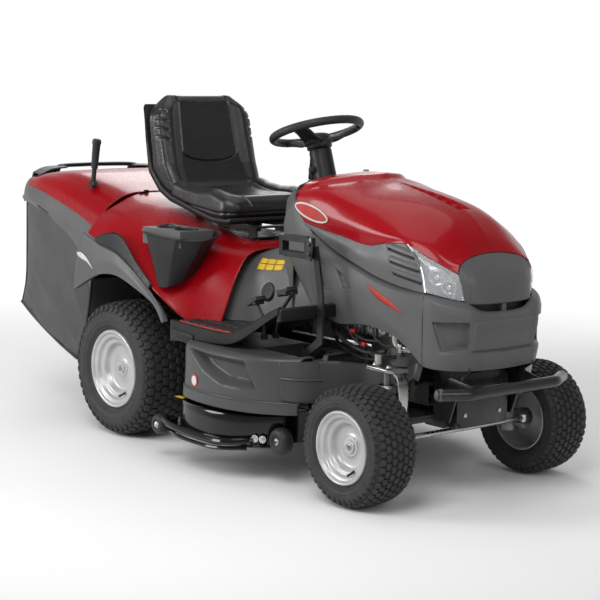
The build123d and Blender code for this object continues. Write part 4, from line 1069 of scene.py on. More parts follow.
def make_catcher(settings):
    """The catcher's lid, rim, side trims, mounts and handles."""
    guides = [[(x, y, z) for x, (y, z) in zip(LID_X, line)] for line in LID_LINES]
    lid = mirrored(skin(guides, 80, 56, sculpt=bowed))
    piece("catcher_lid", lid, red_paint, "catcher", ["catcher_cover"], wall=settings.wall, sharp=24, outward=(-.8,
        0, .5))
    ends = [guide[-1] for guide in guides]
    rim = [ends, [(-1.135, 0, .926), (-1.135, -.255, .922), (-1.13, -.335, .914), (-1.128, -.366, .896), (-1.12, -.384, .866)],
        [(-1.172, 0, .9), (-1.172, -.25, .897), (-1.16, -.325, .89), (-1.15, -.36, .872), (-1.14, -.376, .845)], [(-1.182, 0,
        .845), (-1.182, -.25, .842), (-1.17, -.32, .838), (-1.155, -.355, .828), (-1.14, -.376, .818)]]
    piece("catcher_rim", mirrored(skin(rim, 40, 30, sculpt=bowed)), grey_plastic, "catcher",
        wall=settings.wall, sharp=50, outward=(-.8, 0, .6))
    for side, name in HANDS:
        top = [(x, y + .001, z + .004) for x, y, z in guides[-1]] + [(-1.14, -.376, .85)]
        low = [(-.606, -.402, .52), (-.64, -.402, .6), (-.72, -.402, .69), (-.86, -.401, .755), (-1.02, -.394, .805), (-1.14,
            -.374, .822)]
        mid = [((a + d) / 2, min(b, e) - .008, (c + f) / 2) for (a, b, c), (d, e, f) in zip(top, low)]

        def vents(point, u, v):
            for k in range(4):
                start = (-.985 + .022 * k, .812 - .02 * k)
                point.y += .008 * line_depth(point.x, point.z, start, (start[0] + .075, start[1] - .022), .0055)
            return point

        trim = skin([top, mid, low], 120, 60, sculpt=vents)
        if side > 0:
            other_side(trim)
        piece("catcher_trim_" + name, trim, grey_plastic, "catcher", wall=settings.wall, sharp=40,
            outward=(-.8, 0, .5))
        mount = skin([[(-1.06, -.34, .932), (-1.075, -.26, .95), (-1.08, -.17, .955)], [(-1.12, -.33, .94), (-1.13, -.26,
            .955), (-1.12, -.17, .958)], [(-1.15, -.32, .915), (-1.15, -.25, .925), (-1.14, -.17, .935)]], 20, 14, sculpt=bowed)
        if side > 0:
            other_side(mount)
        piece("catcher_mount_" + name, mount, grey_plastic, "catcher", wall=.006, outward=(-1.1, 0, .8))
    line = [(-.215, .94), (-.19, .954), (-.14, .958), (-.07, .9585), (0, .959), (.07, .9585), (.14, .958), (.19, .954), (.215,
        .94)]
    handle = pipe([bowed(Vector((-1.112, y, z))) for y, z in line], .009, 14)
    piece("catcher_handle", handle, black_steel, "catcher")
    make_bag(settings)
    a, b = Vector((-.718, -.33, .77)), Vector((-.668, -.33, 1.09))
    run = (b - a).normalized()
    shaft = bar(a, b, .0092)
    grip_low = b - run * .115
    grip = turned([(.0092, 0), (.0125, .002), (.0135, .01), (.0145, .05), (.0155, .095), (.0175, .1), (.018, .106), (.0165,
        .115), (.012, .118), (0, .118)], grip_low, run, 32)
    boot = turned([(.022, 0), (.02, .004), (.013, .01), (.0095, .014)], a + run * .15, run, 32)
    lever = joined(shaft, grip)
    piece("catcher_pull", lever, soft_grip, "catcher_lever", ["catcher_lever"])
    piece("catcher_boot", boot, rubber_trim, "catcher")


def bag_foot(x):
    """Height of the bag's lower edge, which rises towards the back."""
    return .236 + (.4 - .236) * min(max((-.7 - x) / .47, 0), 1)


def make_bag(settings):
    """The cloth bag: two sides, a back and a floor that sag between the edges of its frame."""
    def hung(co, u, v, out, fold):
        belly = 16 * u * (1 - u) * v * (1 - v)
        wave = noise(Vector((co.x * 5, co.y * 5, co.z * 3.2))) * .007 + noise(co * 14) * .0026
        rise = abs(sin(pi * (3 * u + 1.2 * v))) ** 6 * .0035 * fold
        edge = min(1.0, 9 * min(u, 1 - u, v, 1 - v) + .12)
        return co + Vector(out) * ((.01 * belly + wave + rise) * edge)

    sides = []
    for side in (-1, 1):
        front = [(-.596, side * .396, .56), (-.625, side * .394, .42), (-.67, side * .392, .31), (-.712, side * .39, .232)]
        back = [(-1.12, side * .372, .85), (-1.118, side * .374, .64), (-1.128, side * .372, .5), (-1.172, side * .366, .402)]
        middle = [[(x, side * (catcher_side(x) - .004), z) for x, z in line] for line in ([(-.7, .76), (-.74, .58), (-.78,
            .41), (-.83, .278)], [(-.86, .8), (-.88, .62), (-.92, .45), (-.96, .324)], [(-1.02, .84), (-1.02, .66), (-1.04,
            .5), (-1.08, .368)])]
        sides.append(skin([front, *middle, back], 70, 90, sculpt=lambda co, u, v, s=side: hung(co, u, v, (0, s, 0), 1.0)))
    rear = [[(-1.12, y, .85), (-1.119, y, .64), (-1.13, y, .5), (-1.172, y * .985, .402)] for y in (-.372, -.19, 0, .19, .372)]
    rear_panel = skin(rear, 70, 90, sculpt=lambda co, u, v: bowed(hung(co, u, v, (-1, 0, 0), .6)))
    floor_lines = [[(x, y, bag_foot(x)) for x in (-.712, -.83, -.96, -1.08, -1.172)] for y in (-.39, -.2, 0, .2, .39)]
    for line in floor_lines:
        line[-1] = (-1.172, line[-1][1] * .94, .402)
    floor = skin(floor_lines, 50, 50, sculpt=lambda co, u, v: bowed(hung(co, u, v, (0, 0, -1), .4)))
    front_lines = [[(-.596, y, .56), (-.625, y, .42), (-.67, y, .31), (-.712, y, .232)] for y in (-.396, -.2, 0, .2, .396)]
    front_panel = skin(front_lines, 50, 50, sculpt=lambda co, u, v: hung(co, u, v, (.6, 0, 0), .3))
    bag = piece("catcher_cloth", joined(*sides, rear_panel, floor, front_panel), bag_fabric, "catcher",
        ["catcher_bag"], wall=.0016, sharp=40, outward=(-.85, 0, .55))
    runs = []
    for side in (-1, 1):
        runs.append(pipe([(-.596, side * .399, .56), (-.625, side * .398, .42), (-.67, side * .396, .31), (-.712, side * .394,
            .229)], .0052, 10))
        runs.append(pipe([(-.712, side * .394, .229), (-.83, side * .395, .27), (-.96, side * .391, .318), (-1.08, side * .38,
            .362), (-1.176, side * .366, .398)], .0052, 10))
        runs.append(pipe([(-1.122, side * .373, .845), (-1.121, side * .375, .64), (-1.131, side * .373, .5), (-1.176,
            side * .366, .398)], .0028, 8))
    runs.append(pipe([bowed(Vector((-1.176, y, .398))) for y in (-.366, -.25, -.12, 0, .12, .25, .366)], .0052, 10))
    runs.append(pipe([(-.712, -.394, .229), (-.712, 0, .227), (-.712, .394, .229)], .0052, 10))
    piece("catcher_piping", joined(*runs), rubber_trim, "catcher")


# ---------------------------------------------------------------- footplates and controls
def make_footplates(settings):
    """The moulded footplates with ribbed mats."""
    profile = [(.052, .487), (.2, .482), (.31, .479), (.388, .483), (.45, .503), (.52, .538), (.59, .574), (.655, .604)]
    for side, name in HANDS:
        top = [[(x, -y, z + rise) for x, z in profile] for y, rise in ((.214, 0), (.34, 0), (.47, 0), (.484, .006), (.4885,
            .001))]
        skirt_low = [(.052, -.4885, .414), (.2, -.4885, .432), (.31, -.4885, .438), (.388, -.4885, .447), (.45, -.4885, .469),
            (.52, -.4885, .507), (.59, -.4885, .549), (.655, -.4885, .585)]
        tray = joined(skin(top, 90, 18, False), skin([top[-1], skirt_low], 90, 8, False))
        edge_band = plate([(.06, .424), (.19, .418), (.19, .452), (.06, .462)], -.4925, -.4875, bevel=.001)
        nose = plate([(.655, .604), (.668, .6), (.664, .56), (.64, .556)], -.486, -.216, bevel=.003)
        mats, reds = [], []
        for k in range(6):
            x0 = .095 + .047 * k
            for y0, y1 in ((-.462, -.4), (-.394, -.33), (-.324, -.26)):
                z = .4885 - .022 * (x0 - .05)
                mats.append(plate([(x0, z - .004), (x0 + .04, z - .006), (x0 + .04, z + .004), (x0, z + .006)], y0, y1,
                    bevel=.0016))
        base = plate([(.088, .485), (.378, .479), (.378, .483), (.088, .4876)], -.468, -.252)
        reds.append(base)
        for y in (-.47, -.25):
            reds.append(pipe([(.086, y, .488), (.23, y, .4835), (.38, y, .4845)], .0032, 8))
        reds.append(pipe([(.086, -.47, .488), (.086, -.36, .488), (.086, -.25, .488)], .0032, 8))
        mat, red, tray = joined(*mats), joined(*reds), joined(tray, edge_band, nose)
        if side > 0:
            for shape in (mat, red, tray):
                other_side(shape)
        piece("footplate_" + name, tray, black_plastic, "chassis", ["footplates"] if side < 0 else [],
            wall=.0032, sharp=40, outward=(.3, 0, .2))
        piece("foot_mat_" + name, mat, rubber_trim, "chassis")
        piece("foot_mat_edge_" + name, red, red_mark, "chassis")


def make_controls(settings):
    """Pedal pads and the grips of the levers."""
    for node, body, y, pad_at in (("reverse_pedal", "reverse_pedal", -.425, (.459, .6)), ("forward_pedal", "forward_pedal",
            -.376, (.562, .64)), ("brake_pedal", "brake_pedal", .395, (.562, .64))):
        x, z = pad_at
        pad = cuboid((-.03, -.024, -.006), (.03, .024, .005), .004)
        ribs = [cuboid((-.024 + k * .012, -.021, .004), (-.019 + k * .012, .021, .0085), .0012) for k in range(5)]
        shape = joined(pad, *ribs)
        lean = Matrix.Translation((x, y, z)) @ Matrix.Rotation(radians(-28), 4, "Y")
        bmesh.ops.transform(shape, matrix=lean, verts=shape.verts)
        piece(node + "_pad", shape, rubber_trim, body)
    lever = "height_lever"
    for k, z in enumerate((.7645, .8185)):
        grip = pipe([(.5, -.337, z), (.56, -.337, z + .001), (.622, -.337, z)], .0118, 16)
        piece("height_grip_" + str(k), grip, soft_grip, lever)
    bracket = plate([(.628, .752), (.652, .75), (.66, .8), (.65, .83), (.632, .826)], -.352, -.346, bevel=.0015)
    stops = [bolt((.644, -.354, z), (0, -1, 0), .006, .005) for z in (.772, .806)]
    piece("height_grip_plate", joined(bracket, *stops), black_steel, lever)
    ribs = []
    low, high = Vector((-.162, .33, .9)), Vector((-.146, .33, 1.018))
    for k in range(13):
        at = low.lerp(high, k / 12)
        ribs.append(turned([(.0105, 0), (.0135, .0012), (.0135, .0048), (.0105, .006)], at, high - low, 20))
    cap = turned([(.012, 0), (.0145, .004), (.014, .014), (.006, .02), (0, .02)], high, high - low, 24)
    piece("parking_grip", joined(*ribs, cap), rubber_trim, "parking_lever")
    knob = turned([(.006, -.014), (.014, -.01), (.016, .002), (.013, .01), (0, .013)], (.37, -.11, 1.03), (0, 0, 1), 32)
    piece("throttle_knob", knob, black_plastic, "throttle_lever")


# ---------------------------------------------------------------- deck covers and mowing deck
COVER_PLAN = [(.14, .4), (.146, .445), (.16, .49), (.19, .522), (.235, .54), (.3, .551), (.36, .555), (.42, .553), (.48, .545),
    (.54, .528), (.59, .505), (.645, .465), (.69, .42)]


def make_deck(settings):
    """The covers over the deck, its enamelled skirts, guard bars, bolts and rollers."""
    def facet(point, u, v):
        """The pressed-in wedge in the side wall, pointed towards the front."""
        corners = [(.215, .428), (.53, .42), (.584, .316), (.53, .318), (.43, .322), (.33, .355)]
        deep = polygon_depth(point.x, point.z, corners, .03)
        point.y += .04 * deep
        point.y -= .006 * soft_step(.284 - point.z, 0, .004)
        return point

    def recess(point, u, v):
        """The trough under the foot of the height lever."""
        point.z -= .08 * polygon_depth(point.x, -point.y, [(.46, .215), (.665, .215), (.665, .4), (.46, .4)], .015)
        point.z -= .05 * polygon_depth(point.x, -point.y, [(.66, .3), (.752, .3), (.752, .362), (.66, .362)], .008)
        return point

    for side, name in HANDS:
        levels = [[(x, -y * k, z) for x, y in COVER_PLAN] for z, k in ((.436, .955), (.429, .985), (.41, .998), (.34, 1.0),
            (.26, 1.006), (.246, 1.004))]
        wall = skin(levels, 150, 80, sculpt=facet)
        lid = skin([[(x, -.2, .438) for x, _ in COVER_PLAN], [(x, -y * .955, .436) for x, y in COVER_PLAN]], 90, 50, False,
            recess)
        rim = pipe([(x, -y * 1.002 - .0035, .285) for x, y in COVER_PLAN], .003, 8, 5)
        wedge_top = [(.64, -.47, .42), (.68, -.43, .424), (.705, -.39, .426), (.72, -.345, .426), (.745, -.3, .424), (.8, -.24,
            .418), (.87, -.222, .412), (.929, -.212, .404)]
        wedge_low = [(.655, -.475, .3), (.69, -.436, .292), (.713, -.392, .288), (.725, -.345, .287), (.75, -.298, .286), (.8,
            -.236, .285), (.87, -.218, .285), (.92, -.208, .285)]
        wedge_in = [(.64, -.23, .4), (.68, -.228, .402), (.71, -.226, .402), (.74, -.222, .402), (.77, -.219, .402), (.82,
            -.214, .402), (.88, -.208, .402), (.93, -.205, .402)]
        wedge = joined(skin([wedge_in, wedge_top], 90, 60, False, recess), skin([wedge_top, wedge_low], 90, 14, False))
        ridge = pipe([(.647, -.4735, .37), (.685, -.4345, .366), (.7092, -.392, .364), (.7224, -.346, .362)], .0035, 8)
        rail = skin([[(.93, -.205, .408), (.975, -.2, .43), (1.01, -.196, .455), (1.034, -.193, .44)], [(.93, -.225, .352),
            (.975, -.222, .372), (1.01, -.218, .395), (1.034, -.214, .392)]], 24, 6)
        shape = joined(wall, lid, wedge, rail)
        lines = joined(rim, ridge)
        if side > 0:
            other_side(shape)
            other_side(lines)
        piece("deck_cover_" + name, shape, cover_plastic, "chassis", ["deck_covers"] if side < 0 else [],
            wall=settings.wall, sharp=35, outward=(.45, 0, .3))
        piece("deck_cover_ridges_" + name, lines, cover_plastic, "chassis")
    ring = turned([(0, .0005), (.0215, .0005), (.0225, 0), (.0225, -.001)], (0, 0, 0), (0, 0, 1), 40)
    dot = turned([(0, .0011), (.0165, .0011), (.0165, .0006)], (0, 0, 0), (0, 0, 1), 40)
    turn = Matrix.Translation((.282, -.5512, .314)) @ Matrix.Rotation(radians(-9), 4, "Z") @ Matrix.Rotation(radians(90), 4,
        "X")
    for shape, name, finish, slot_name in ((ring, "deck_disc_rim", red_mark, "red_paint"), (dot, "deck_disc", pale_mark,
            "silver_paint")):
        bmesh.ops.transform(shape, matrix=turn, verts=shape.verts)
        piece(name, shape, finish, "chassis")
    for side, name in HANDS:
        plan = [(.11, .43), (.15, .5), (.21, .548), (.3, .568), (.4, .566), (.49, .54), (.56, .49), (.61, .42)]
        levels = [[(x, -y * k, z) for x, y in plan] for z, k in ((.236, .93), (.234, .965), (.222, .99), (.16, .998), (.132,
            1.0), (.126, 1.012), (.121, 1.0))]
        skirt = skin(levels, 110, 30)
        flat = skin([[(x, -.3, .2365) for x, _ in plan], [(x, -y * .93, .236) for x, y in plan]], 40, 8, False)
        shape = joined(skirt, flat)
        rail = pipe([(.108, -.556, .147), (.18, -.574, .142), (.28, -.582, .138), (.4, -.582, .137), (.49, -.57, .14), (.56,
            -.52, .149)], .0125, 16)
        lower = pipe([(.13, -.548, .118), (.22, -.574, .112), (.34, -.58, .11), (.44, -.574, .112), (.545, -.528, .122)], .007,
            12)
        fix = joined(bolt((.562, -.505, .156), (.5, -.86, 0), .0085, .008), bolt((.588, -.492, .156), (.5, -.86, 0), .0085,
            .008))
        tab = plate([(.16, .2372), (.205, .2372), (.205, .2385), (.16, .2385)], -.545, -.522, bevel=.0004)
        if side > 0:
            for item in (shape, rail, lower, fix, tab):
                other_side(item)
        piece("deck_skirt_" + name, shape, deck_enamel, "deck", wall=.002, sharp=40, outward=(.31, 0, .15))
        piece("deck_rail_" + name, joined(rail, lower), deck_enamel, "deck")
        piece("deck_bolts_" + name, fix, zinc_steel, "deck")
        piece("deck_tab_" + name, tab, amber_mark, "deck")
    for kind, x, y, z, radius, half in (("front", .64, .455, .155, .046, .024), ("rear", .085, .552, .127, .036, .02)):
        for side, name in HANDS:
            profile = [(.008, half * .8), (radius * .42, half * .84), (radius * .48, half * 1.0), (radius * .66, half * 1.02),
                (radius * .84, half * .86), (radius * .96, half * .5), (radius, 0), (radius * .96, -half * .5), (radius * .84,
                -half * .86), (radius * .6, -half), (.008, -half)]
            roller = turned([(p.x, p.y) for p in (curve_point([(r, h, 0) for r, h in profile], i / 40) for i in range(41))],
                (x, side * y, z), (0, side, 0), 56)
            hub = bolt((x, side * (y + half * .78), z), (0, side, 0), .0075, .007)
            label = kind + "_roller_" + name
            piece(label + "_tread", roller, soft_grip, label, [label], sharp=50)
            piece(label + "_bolt", hub, zinc_steel, label)


# ---------------------------------------------------------------- front end
def make_front_end(settings):
    """Steering plates, axle castings and the bumper bracket."""
    for side, name in HANDS:
        arm = skin([[(.9, -.262, .437), (.96, -.262, .436), (1.02, -.262, .43), (1.04, -.262, .405), (1.045, -.262, .35),
            (1.04, -.262, .3)], [(.9, -.32, .437), (.96, -.322, .436), (1.02, -.318, .43), (1.042, -.314, .405), (1.047, -.31,
            .35), (1.042, -.306, .3)]], 60, 8)
        fixing = joined(bolt((.925, -.3, .44), (0, 0, 1), .0085, .008), bolt((.985, -.298, .438), (0, 0, 1), .0075, .007))
        hanger = plate([(.94, .26), (1.0, .26), (1.02, .33), (.99, .345), (.95, .345), (.925, .33)], -.312, -.27, bevel=.006)
        upright = turned([(.03, -.06), (.034, -.052), (.034, -.02), (.026, -.01), (.026, .05), (.034, .058), (.034, .072),
            (.028, .08)], (.969, -.288, .3), (0, 0, 1), 36)
        if side > 0:
            for shape in (arm, fixing, hanger, upright):
                other_side(shape)
        piece("steering_plate_" + name, arm, zinc_steel, "knuckle_" + name, wall=.005, sharp=40, outward=(.9,
            0, .2))
        piece("steering_plate_bolts_" + name, fixing, zinc_steel, "knuckle_" + name)
        piece("axle_casting_" + name, joined(hanger, upright), cast_alloy, "knuckle_" + name)
        ends = turned([(0, .006), (.01, .005), (.0165, .001), (.0195, -.006), (.0195, -.018), (.0185, -.02)], (1.198,
            side * .292, .383), (-.45, side * .89, 0), 32)
        piece("bumper_end_" + name, ends, grey_plastic, "chassis")
    lid = plate([(1.052, -.104), (1.112, -.118), (1.118, -.06), (1.118, .06), (1.112, .118), (1.052, .104)], .4245, .4285,
        axis="Z", bevel=.0015)
    lips = joined(bolt((1.114, -.08, .28), (1, 0, 0), .008, .006), bolt((1.114, .08, .28), (1, 0, 0), .008, .006))
    box = plate([(-.118, .262), (-.09, .237), (.09, .237), (.118, .262), (.118, .395), (.095, .418), (-.095, .418), (-.118,
        .395)], 1.1125, 1.118, axis="X", bevel=.0016)
    piece("bracket_face", joined(box, lid), black_steel, "chassis")
    piece("bracket_bolts", lips, zinc_steel, "chassis")
    grips = []
    for side in (-1, 1):
        grips.append(plate([(1.1, .362), (1.228, .37), (1.232, .396), (1.12, .412), (1.1, .4)], side * .1515, side * .1565,
            bevel=.001))
    piece("bumper_arms", joined(*grips), black_steel, "chassis")


# ---------------------------------------------------------------- engine
def make_engine(settings):
    """What shows of the engine below the hood."""
    hoses = joined(pipe([(.6, -.2, .52), (.66, -.235, .5), (.74, -.24, .47), (.82, -.225, .455), (.88, -.215, .47)], .008, 10),
        pipe([(.58, -.16, .5), (.64, -.215, .47), (.73, -.222, .44), (.8, -.205, .43), (.9, -.19, .45)], .006, 10), pipe([(.62,
        -.2, .545), (.7, -.235, .53), (.79, -.238, .5), (.86, -.222, .5)], .0045, 8), pipe([(.7, -.23, .56), (.73, -.245, .52),
        (.76, -.24, .49), (.8, -.235, .47)], .0035, 8), pipe([(.83, -.23, .54), (.86, -.242, .51), (.9, -.232, .49), (.94,
        -.22, .5)], .0035, 8))
    piece("engine_hoses", hoses, rubber_trim, "chassis")
    covers = []
    for x, y, z, r in ((.8, -.205, .54, .03), (.865, -.212, .54, .024), (.735, -.205, .538, .022), (.91, -.205, .532, .02)):
        covers.append(turned([(0, .014), (r * .5, .013), (r * .8, .01), (r, .002), (r * 1.04, -.012), (r * 1.04, -.035)], (x,
            y, z), (.1, -1, .1), 36))
        covers.append(bolt((x, y - .014, z), (.1, -1, .1), .006, .005))
    # Two near-black flat sheets inside the engine bay, behind the hood's sides: painted shade where the bay is dark.
    wall = joined(plate([(.44, .505), (1.0, .505), (1.0, .62), (.44, .66)], -.108, -.104), plate([(.12, .4), (1.0, .4), (1.0,
        .52), (.12, .52)], .118, .122))
    piece("engine_bay_shade", wall, painted_gap_shade, "chassis")
    housing = cuboid((.7, -.205, .508), (.9, -.15, .575), .018, 3)
    fins = [cuboid((.715 + k * .021, -.214, .512), (.722 + k * .021, -.198, .565), .0015) for k in range(8)]
    piece("engine_castings", joined(housing, *covers, *fins), cast_alloy, "chassis")
    elbow = pipe([(.99, -.192, .486), (.96, -.205, .486), (.935, -.215, .5), (.93, -.218, .53), (.945, -.215, .56)], .0165, 20)
    flange = turned([(.017, -.006), (.027, -.005), (.027, .005), (.017, .006)], (.952, -.208, .487), (1, .4, 0), 32)
    piece("engine_elbow", joined(elbow, flange), zinc_steel, "chassis")
    caps = [cuboid((x, -.247, z), (x + .02, -.234, z + .012), .002) for x, z in ((.735, .515), (.79, .478))]
    piece("engine_caps", joined(*caps), red_mark, "chassis")


# ---------------------------------------------------------------- bare frame nodes
CAD_FINISHES = {
    black_steel: ("chassis_frame rear_plate front_bracket bumper_bar front_axle seat_bracket seat_frame height_lever "
        "catcher_lever"),
    cast_alloy: "transaxle knuckle engine",
    black_plastic: "grass_tunnel steering_column fuel_tank battery footplates seat_pan parking_lever throttle_lever",
    zinc_steel: "sector_arm drag_link tie_rod muffler ignition_key blade",
    red_paint: "hood_top rear_fender catcher_cover",
    grey_plastic: "hood_surround front_cowl dash_panel tunnel_cover wheel_arch_trims cup_holder deck_covers",
    lens_clear: "headlight_lenses",
    vinyl: "seat_cushion",
    rubber_trim: "forward_pedal reverse_pedal brake_pedal deck_belt",
    red_mark: "blade_switch",
    deck_enamel: "deck_shell",
    soft_grip: "front_roller rear_roller steering_wheel",
    bag_fabric: "catcher_bag",
    tyre_rubber: "rear_tyre front_tyre",
    silver_enamel: "rear_rim front_rim",
}


def finish_frame(settings):
    """Gives every node of the frame its finish."""
    wanted = {node: make for make, nodes in CAD_FINISHES.items() for node in nodes.split()}
    for name, obj in NODES.items():
        make = wanted.get(name) or wanted[name.rsplit("_", 1)[0]]
        obj.data.materials.clear()
        obj.data.materials.append(finish_of(make))


# ---------------------------------------------------------------- stage
def studio_glow(tree, coordinates, strength):
    """The studio's brightness in a direction: bright low down behind the mower, dimmer in front of it and overhead."""
    direction, unit, facing, soft = (tree.nodes.new("ShaderNode" + kind) for kind in ("TexCoord", "VectorMath", "VectorMath",
        "MapRange"))
    unit.operation, facing.operation = "NORMALIZE", "DOT_PRODUCT"
    facing.inputs[1].default_value = (-.77, .64, 0)
    for key, number in zip(("From Min", "From Max", "To Min", "To Max"), (-.2, .85, .34, 1.02)):
        soft.inputs[key].default_value = number
    tree.links.new(direction.outputs[coordinates], unit.inputs[0])
    tree.links.new(unit.outputs["Vector"], facing.inputs[0])
    tree.links.new(facing.outputs["Value"], soft.inputs["Value"])
    parts, high, both = (tree.nodes.new("ShaderNode" + kind) for kind in ("SeparateXYZ", "MapRange", "Math"))
    for key, number in zip(("From Min", "From Max", "To Min", "To Max"), (.08, .5, 1.0, .4)):
        high.inputs[key].default_value = number
    both.operation = "MULTIPLY"
    tree.links.new(unit.outputs["Vector"], parts.inputs[0])
    tree.links.new(parts.outputs["Z"], high.inputs["Value"])
    tree.links.new(soft.outputs["Result"], both.inputs[0])
    tree.links.new(high.outputs["Result"], both.inputs[1])
    tree.links.new(both.outputs["Value"], strength)


def make_stage(settings):
    """The camera, five soft lights, the studio around and the floor."""
    scene = bpy.context.scene
    azimuth, elevation, roll = settings.azimuth, settings.elevation, settings.roll
    back = Vector((sin(azimuth) * cos(elevation), -cos(azimuth) * cos(elevation), sin(elevation)))
    right = (-back).cross(Vector((0, 0, 1))).normalized()
    up = right.cross(-back).normalized()
    across = right * cos(roll) + up * sin(roll)
    above = up * cos(roll) - right * sin(roll)
    data = bpy.data.cameras.new("camera")
    data.lens, data.sensor_width, data.shift_x, data.shift_y = settings.lens, 36.0, .0022, -.0003
    camera = bpy.data.objects.new("camera", data)
    camera.matrix_world = Matrix.Translation(settings.place) @ Matrix((across, above, back)).transposed().to_4x4()
    scene.collection.objects.link(camera)
    scene.camera = camera
    lights = (("key", (2.2, -3.4, 4.2), 3.2, 150), ("fill", (4.6, -.6, 2.6), 2.6, 36), ("top", (-.2, .2, 4.4), 3.6, 34),
        ("rim", (-3.6, 2.6, 3.2), 2.4, 45), ("side", (-2.4, -4.2, 2.0), 2.2, 120))
    for name, place, size, power in lights:
        lamp = bpy.data.lights.new(name, "AREA")
        lamp.shape, lamp.size, lamp.energy = "DISK", size, power
        lit = bpy.data.objects.new(name, lamp)
        lit.location = place
        lit.rotation_euler = (Vector((.3, 0, .5)) - Vector(place)).to_track_quat("-Z", "Y").to_euler()
        scene.collection.objects.link(lit)
    world = bpy.data.worlds.new("studio")
    world.use_nodes = True
    tree = world.node_tree
    tree.nodes["Background"].inputs["Color"].default_value = (1.0, 1.0, 1.0, 1.0)
    studio_glow(tree, "Generated", tree.nodes["Background"].inputs["Strength"])
    scene.world = world
    floor = bmesh.new()
    bmesh.ops.create_grid(floor, x_segments=1, y_segments=1, size=30.0)
    mesh = bpy.data.meshes.new("floor")
    floor.to_mesh(mesh)
    floor.free()
    ground = bpy.data.objects.new("floor", mesh)
    pale = Finish("floor_paper", (.93, .93, .93), .75)
    pale.tint(pale.noise(.7), (.91, .91, .91))
    mesh.materials.append(pale.material)
    tree = pale.material.node_tree
    output = next(node for node in tree.nodes if node.type == "OUTPUT_MATERIAL")
    glow, fade, mix = (tree.nodes.new("ShaderNode" + kind) for kind in ("Emission", "MapRange", "MixShader"))
    studio_glow(tree, "Object", glow.inputs["Strength"])
    place, length = tree.nodes.new("ShaderNodeTexCoord"), tree.nodes.new("ShaderNodeVectorMath")
    length.operation = "LENGTH"
    fade.interpolation_type = "SMOOTHSTEP"
    for key, number in zip(("From Min", "From Max", "To Min", "To Max"), (1.3, 4.2, 0, 1.0)):
        fade.inputs[key].default_value = number
    tree.links.new(place.outputs["Object"], length.inputs[0])
    tree.links.new(length.outputs["Value"], fade.inputs["Value"])
    tree.links.new(fade.outputs["Result"], mix.inputs[0])
    tree.links.new(output.inputs["Surface"].links[0].from_socket, mix.inputs[1])
    tree.links.new(glow.outputs["Emission"], mix.inputs[2])
    tree.links.new(mix.outputs["Shader"], output.inputs["Surface"])
    scene.collection.objects.link(ground)
    scene.view_settings.view_transform = WHITE_VIEW


# ---------------------------------------------------------------- add-on
def paint_property(name, description, default):
    """A colour that a user may change, in linear light."""
    return bpy.props.FloatVectorProperty(name=name, description=description, size=3, default=default, min=0, max=1.0,
        subtype="COLOR")


class PaintSettings(bpy.types.PropertyGroup):
    body: paint_property("Body paint", "Colour of the painted hood, fender and lid", (.3, .0003, .005))
    panel: paint_property("Panels", "Colour of the moulded grey panels", (.105, .106, .108))
    cover: paint_property("Deck covers", "Colour of the covers over the mowing deck", (.068, .069, .071))
    rim: paint_property("Rims", "Colour of the wheels' pressed rims", (.5, .5, .505))
    bag: paint_property("Bag", "Colour of the catcher's coated cloth", (.055, .0565, .056))


class ShellSettings(bpy.types.PropertyGroup):
    wall: bpy.props.FloatProperty(name="Panel wall", description="Thickness of the moulded body panels", default=.003,
        unit="LENGTH", subtype="DISTANCE")


class TyreSettings(bpy.types.PropertyGroup):
    rows: bpy.props.IntProperty(name="Rows", description="Rows of tread blocks each side of the middle row", default=4)
    count: bpy.props.IntProperty(name="Blocks", description="Tread blocks in a row, all the way round", default=44)
    depth: bpy.props.FloatProperty(name="Depth", description="Height of a tread block", default=.0072, precision=4,
        unit="LENGTH", subtype="DISTANCE")


class SeatSettings(bpy.types.PropertyGroup):
    voxel: bpy.props.FloatProperty(name="Voxel", description="Size of the even mesh that the pads are swollen on",
        default=.0058, precision=4, unit="LENGTH", subtype="DISTANCE")
    pressure: bpy.props.FloatProperty(name="Pressure", description="Pressure of the foam under its cover", default=4.0)
    frames: bpy.props.IntProperty(name="Frames", description="Frames that the swelling runs for", default=20)
    cap: bpy.props.FloatProperty(name="Cap", description="The furthest that a point may swell", default=.006, precision=4,
        unit="LENGTH", subtype="DISTANCE")


class StageSettings(bpy.types.PropertyGroup):
    azimuth: bpy.props.FloatProperty(name="Azimuth",
        description="Direction that the camera looks from, from behind the right side", default=radians(50.016),
        unit="ROTATION", subtype="ANGLE")
    elevation: bpy.props.FloatProperty(name="Elevation", description="Height of the camera's direction above level",
        default=radians(8.013), unit="ROTATION", subtype="ANGLE")
    roll: bpy.props.FloatProperty(name="Roll", description="Turn of the camera about its own line of sight",
        default=radians(1.058), unit="ROTATION", subtype="ANGLE")
    lens: bpy.props.FloatProperty(name="Lens", description="Focal length of the camera in millimetres", default=100.33,
        unit="CAMERA")
    place: bpy.props.FloatVectorProperty(name="Place", description="Where the camera stands", size=3, default=(4.831, -3.905,
        1.394), unit="LENGTH", subtype="TRANSLATION")


def run(operator, build, settings):
    """Builds a group, and fails with the group's name if that can't be done."""
    before = len(bpy.data.objects)
    build(settings)
    if len(bpy.data.objects) == before and build is not finish_frame:
        raise RuntimeError(operator.bl_label + ": nothing was made")
    return {"FINISHED"}


class MOWER_OT_hood(bpy.types.Operator):
    """Build the painted hood with its raised rear part, recess and badges"""
    bl_idname = "mower.hood"
    bl_label = "Hood"

    def execute(self, context):
        return run(self, make_hood, context.scene.mower_shell)


class MOWER_OT_side_panels(bpy.types.Operator):
    """Build the hood's side panels with groove, louvres and pockets"""
    bl_idname = "mower.side_panels"
    bl_label = "Side panels"

    def execute(self, context):
        return run(self, make_side_panels, context.scene.mower_shell)


class MOWER_OT_nose(bpy.types.Operator):
    """Build the nose panel and the air slot under it"""
    bl_idname = "mower.nose"
    bl_label = "Nose"

    def execute(self, context):
        return run(self, make_nose, context.scene.mower_shell)


